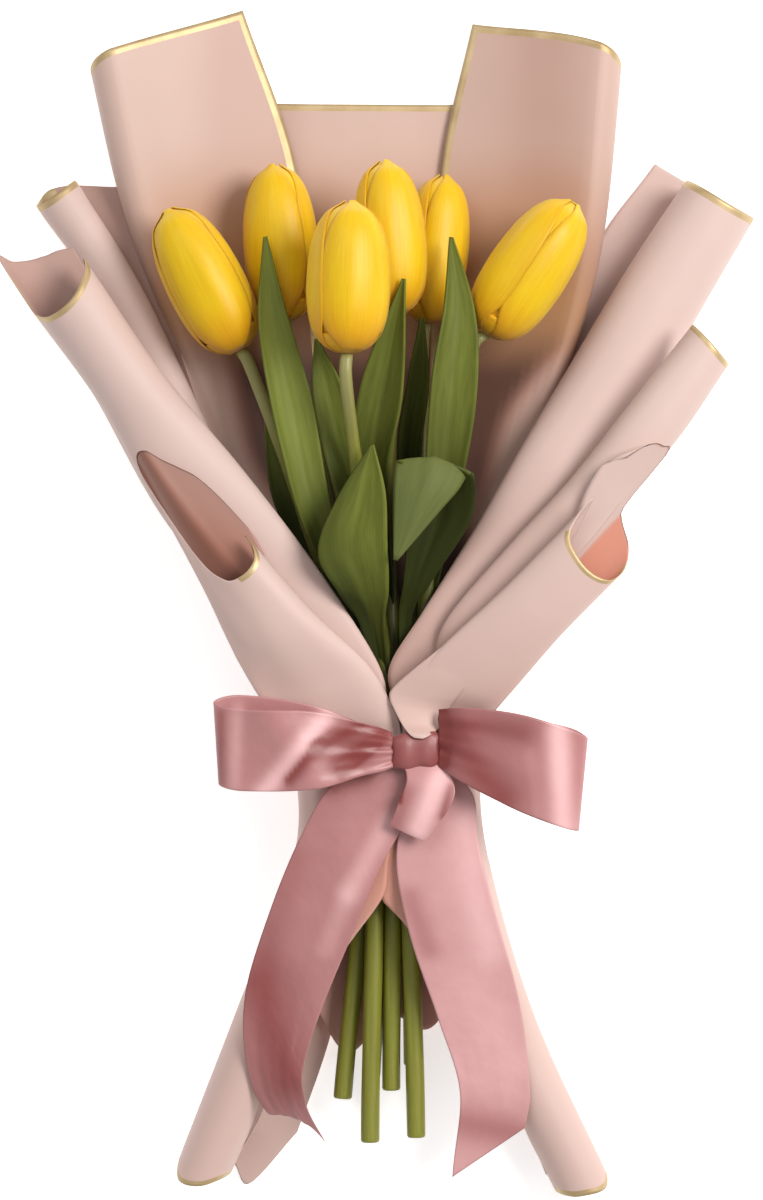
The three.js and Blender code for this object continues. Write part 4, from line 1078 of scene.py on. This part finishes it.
t = np.linspace(0, 1, STRIP_ROWS)
u = np.linspace(-1, 1, STRIP_COLS)
for order, (name, strip) in enumerate(STRIPS.items()):
    grid, half = strip_grid(strip["rows"], t, u)
    if "cut" in strip:
        ends = np.interp(u, *strip["cut"])
        grid = np.stack([strip_grid(strip["rows"], t * end, u)[0][:, k] for k, end in enumerate(ends)], axis=1)
    middle = grid[:, STRIP_COLS // 2, None]
    grid = middle + (grid - middle) * table(strip.get("wider", UNCHANGED), t)[:, None, None]
    grid[..., 1] += table(strip.get("spread", LEVEL), t)[:, None] * (u + 1) / 2
    grid = swept(pleated(grid, u, half, strip["pleats"], 1.9 * order), t, u, strip["folds"])
    even_shade, even_light, shades, lights = strip["tones"]
    shade = np.clip(streaked(grid, even_shade, shades), 0, 1)
    light = np.clip(streaked(grid, even_light, lights) - 0.5 * shade, 0, 1)
    piece = Build().sheet(grid, RIBBON, tones=both_sides(shade, light)).finish(f"ribbon_{name}", [SATIN], name)
    area, length = area_of(grid)
    held, rests_on = strip["held"]


# Band round the wrap, drawn narrow in lengthwise folds
BAND_HALF_X = 40.2
BAND_HALF_Z = 20.9
BAND_CORNER = 17.9
BAND_HALF_WIDTH = 7


def rounded(half_x, half_z, corner, count):
    """Points round a rounded rectangle, even by angle of its corners and along its sides."""
    turn = np.linspace(0, np.pi / 2, count)
    steps = np.linspace(0, 1, count)[1:-1, None]
    corners = []
    for k, way in enumerate([(1, 1), (-1, 1), (-1, -1), (1, -1)]):
        angle = turn + k * np.pi / 2
        middle = array(way) * [half_x - corner, half_z - corner]
        corners.append(middle + corner * stacked(np.cos(angle), np.sin(angle)))
    points = []
    for here, after in zip(corners, corners[1:] + corners[:1]):
        points += [here, here[-1] + (after[0] - here[-1]) * steps]
    return np.concatenate(points + [points[0][:1]])


outline = rounded(BAND_HALF_X, BAND_HALF_Z, BAND_CORNER, 14)
width = np.linspace(-1, 1, 25)
fold = 0.28 * np.cos(9 * width) + 0.1 * np.cos(21 * width)
x, z = np.moveaxis(outline[:, None] + unit(outline)[:, None] * fold[None, :, None], -1, 0)
grid = stacked(TIE_X + x, TIE_Y - 4 + BAND_HALF_WIDTH * width[None] * np.ones_like(x), TIE_Z + z)
piece = Build().sheet(grid, RIBBON).finish("ribbon_wrap", [SATIN], "ribbon_band")
area, _ = area_of(grid)

# Knot on the band: a flattened ring of satin with soft folds, narrower at both ends
KNOT_CENTRE = (14.5, -64.4, 55.4)
KNOT_HALF = (10.2, 7.9, 4.3)
across = np.linspace(-1, 1, 41)
x = across[:, None]
around = round_angles(64)[None]
pinch = np.sqrt(np.clip(1 - np.abs(x) ** 5, 0, 1)) * 0.4 + 0.6
fold = 1 + 0.06 * np.cos(6 * x + 2.6 * np.sin(around) + 0.9) * (1 - x**4)
ring_y = KNOT_HALF[1] * np.sign(np.cos(around)) * np.abs(np.cos(around)) ** 0.85
ring_z = KNOT_HALF[2] * np.sign(np.sin(around)) * np.abs(np.sin(around)) ** 0.75
rings = stacked(
    KNOT_CENTRE[0] + KNOT_HALF[0] * x * (1 + 0.06 * np.cos(2 * around)),
    KNOT_CENTRE[1] + 0.8 * x + ring_y * pinch * fold,
    KNOT_CENTRE[2] + ring_z * pinch * fold,
)
# Painted shade over the whole knot, deepest at its two ends
tones = stacked(0.74 + 0.2 * across**2, 0 * across)
Build().tube(rings, tones).finish("ribbon_knot", [SATIN], "bow_knot")

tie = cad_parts["stem_tie"]
tie.data.materials.clear()
tie.data.materials.append(TWINE)

# The near edge of the right wing runs down into a tip that lies over the top of the knot
TIP_LEFT = [
    (32.5, -14.5, 59.6), (23.1, -22.1, 58.2), (12.4, -30.7, 55), (4.6, -38, 52.8), (3.4, -42, 52.8),
    (5.4, -47, 53.7), (8.6, -53, 55.4), (11.6, -57, 59.2), (14.2, -58.9, 60)]
TIP_RIGHT = [
    (44, -14, 64), (42, -24, 63), (38, -34, 60), (32, -42, 56.3), (29.5, -45.5, 54.2), (27.5, -49, 52.6),
    (25, -54.5, 53.4), (20.6, -57.8, 59), (17.6, -59.2, 60)]
TIP_SWELL = [(0, -0.6), (0.125, 0.2), (0.25, 1.1), (0.375, 0.9), (0.5, 0.7), (0.8, 0.9), (1, 0.2)]
v = np.linspace(0, 1, 60)
u = np.linspace(-1, 1, 25)
left, _ = spline(TIP_LEFT, v)
right, _ = spline(TIP_RIGHT, v)
grid = left[:, None] + (right - left)[:, None] * ((u + 1) / 2)[None, :, None]
grid[..., 2] += table(TIP_SWELL, v)[:, None] * (1 - u**2)
# The painted bounce tint near the tie, fading out towards the tip's end
painted_bounce = painted_bounce_near_tie(grid) * (1 - 0.6 * smoothstep(v, 0.75, 0.95)[:, None])
Build().sheet(grid, PAPER, tones=both_sides(0 * painted_bounce, painted_bounce)).finish("paper_tip", [PAPER_LOOK], "wing_right_outer")

# Floor and light, in metres
FLOOR_REACH = 6.0
FLOOR_DROP = 0.0002
LIGHTS = {
    "key": dict(place=(1.05, 0.5, 1.4), size=0.9, power=30, colour=(1.0, 0.985, 0.965)),
    "fill": dict(place=(-0.6, 1.0, 1.6), size=1.2, power=7, colour=(0.98, 0.99, 1.0)),
}
SKY_STRENGTH = 0.48

floor_mesh = bpy.data.meshes.new("floor")
floor_corners = [(x * FLOOR_REACH, y * FLOOR_REACH, 0) for x, y in [(-1, -1), (1, -1), (1, 1), (-1, 1)]]
floor_mesh.from_pydata(floor_corners, [], [(0, 1, 2, 3)])
floor = add_object(floor_mesh, (0, 0, -FLOOR_DROP))
floor_mesh.materials.append(Look("floor").finish(
    (0.9, 0.9, 0.9, 1), 0.9, Emission_Color=(1, 1, 1, 1), Emission_Strength=0.55))
floor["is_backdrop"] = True


def area_light(name, place, size, power, colour):
    """A round soft light that faces the middle of the part."""
    data = bpy.data.lights.new(name, "AREA")
    data.shape = "DISK"
    data.size = size
    data.energy = power
    data.color = colour
    light = add_object(data, place)
    light.rotation_mode = "QUATERNION"
    light.rotation_quaternion = (-Vector(place)).to_track_quat("-Z", "Y")


for name, light in LIGHTS.items():
    area_light(name, **light)
world = bpy.data.worlds.new("studio")
world.use_nodes = True
background = world.node_tree.nodes["Background"]
background.inputs["Color"].default_value = (1, 1, 1, 1)
background.inputs["Strength"].default_value = SKY_STRENGTH
bpy.context.scene.world = world
bpy.context.scene.view_settings.view_transform = "Standard"


def plain(box):
    return [[float(x) for x in corner] for corner in box]


{"cad": plain(cad_box), "visual": plain(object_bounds())}
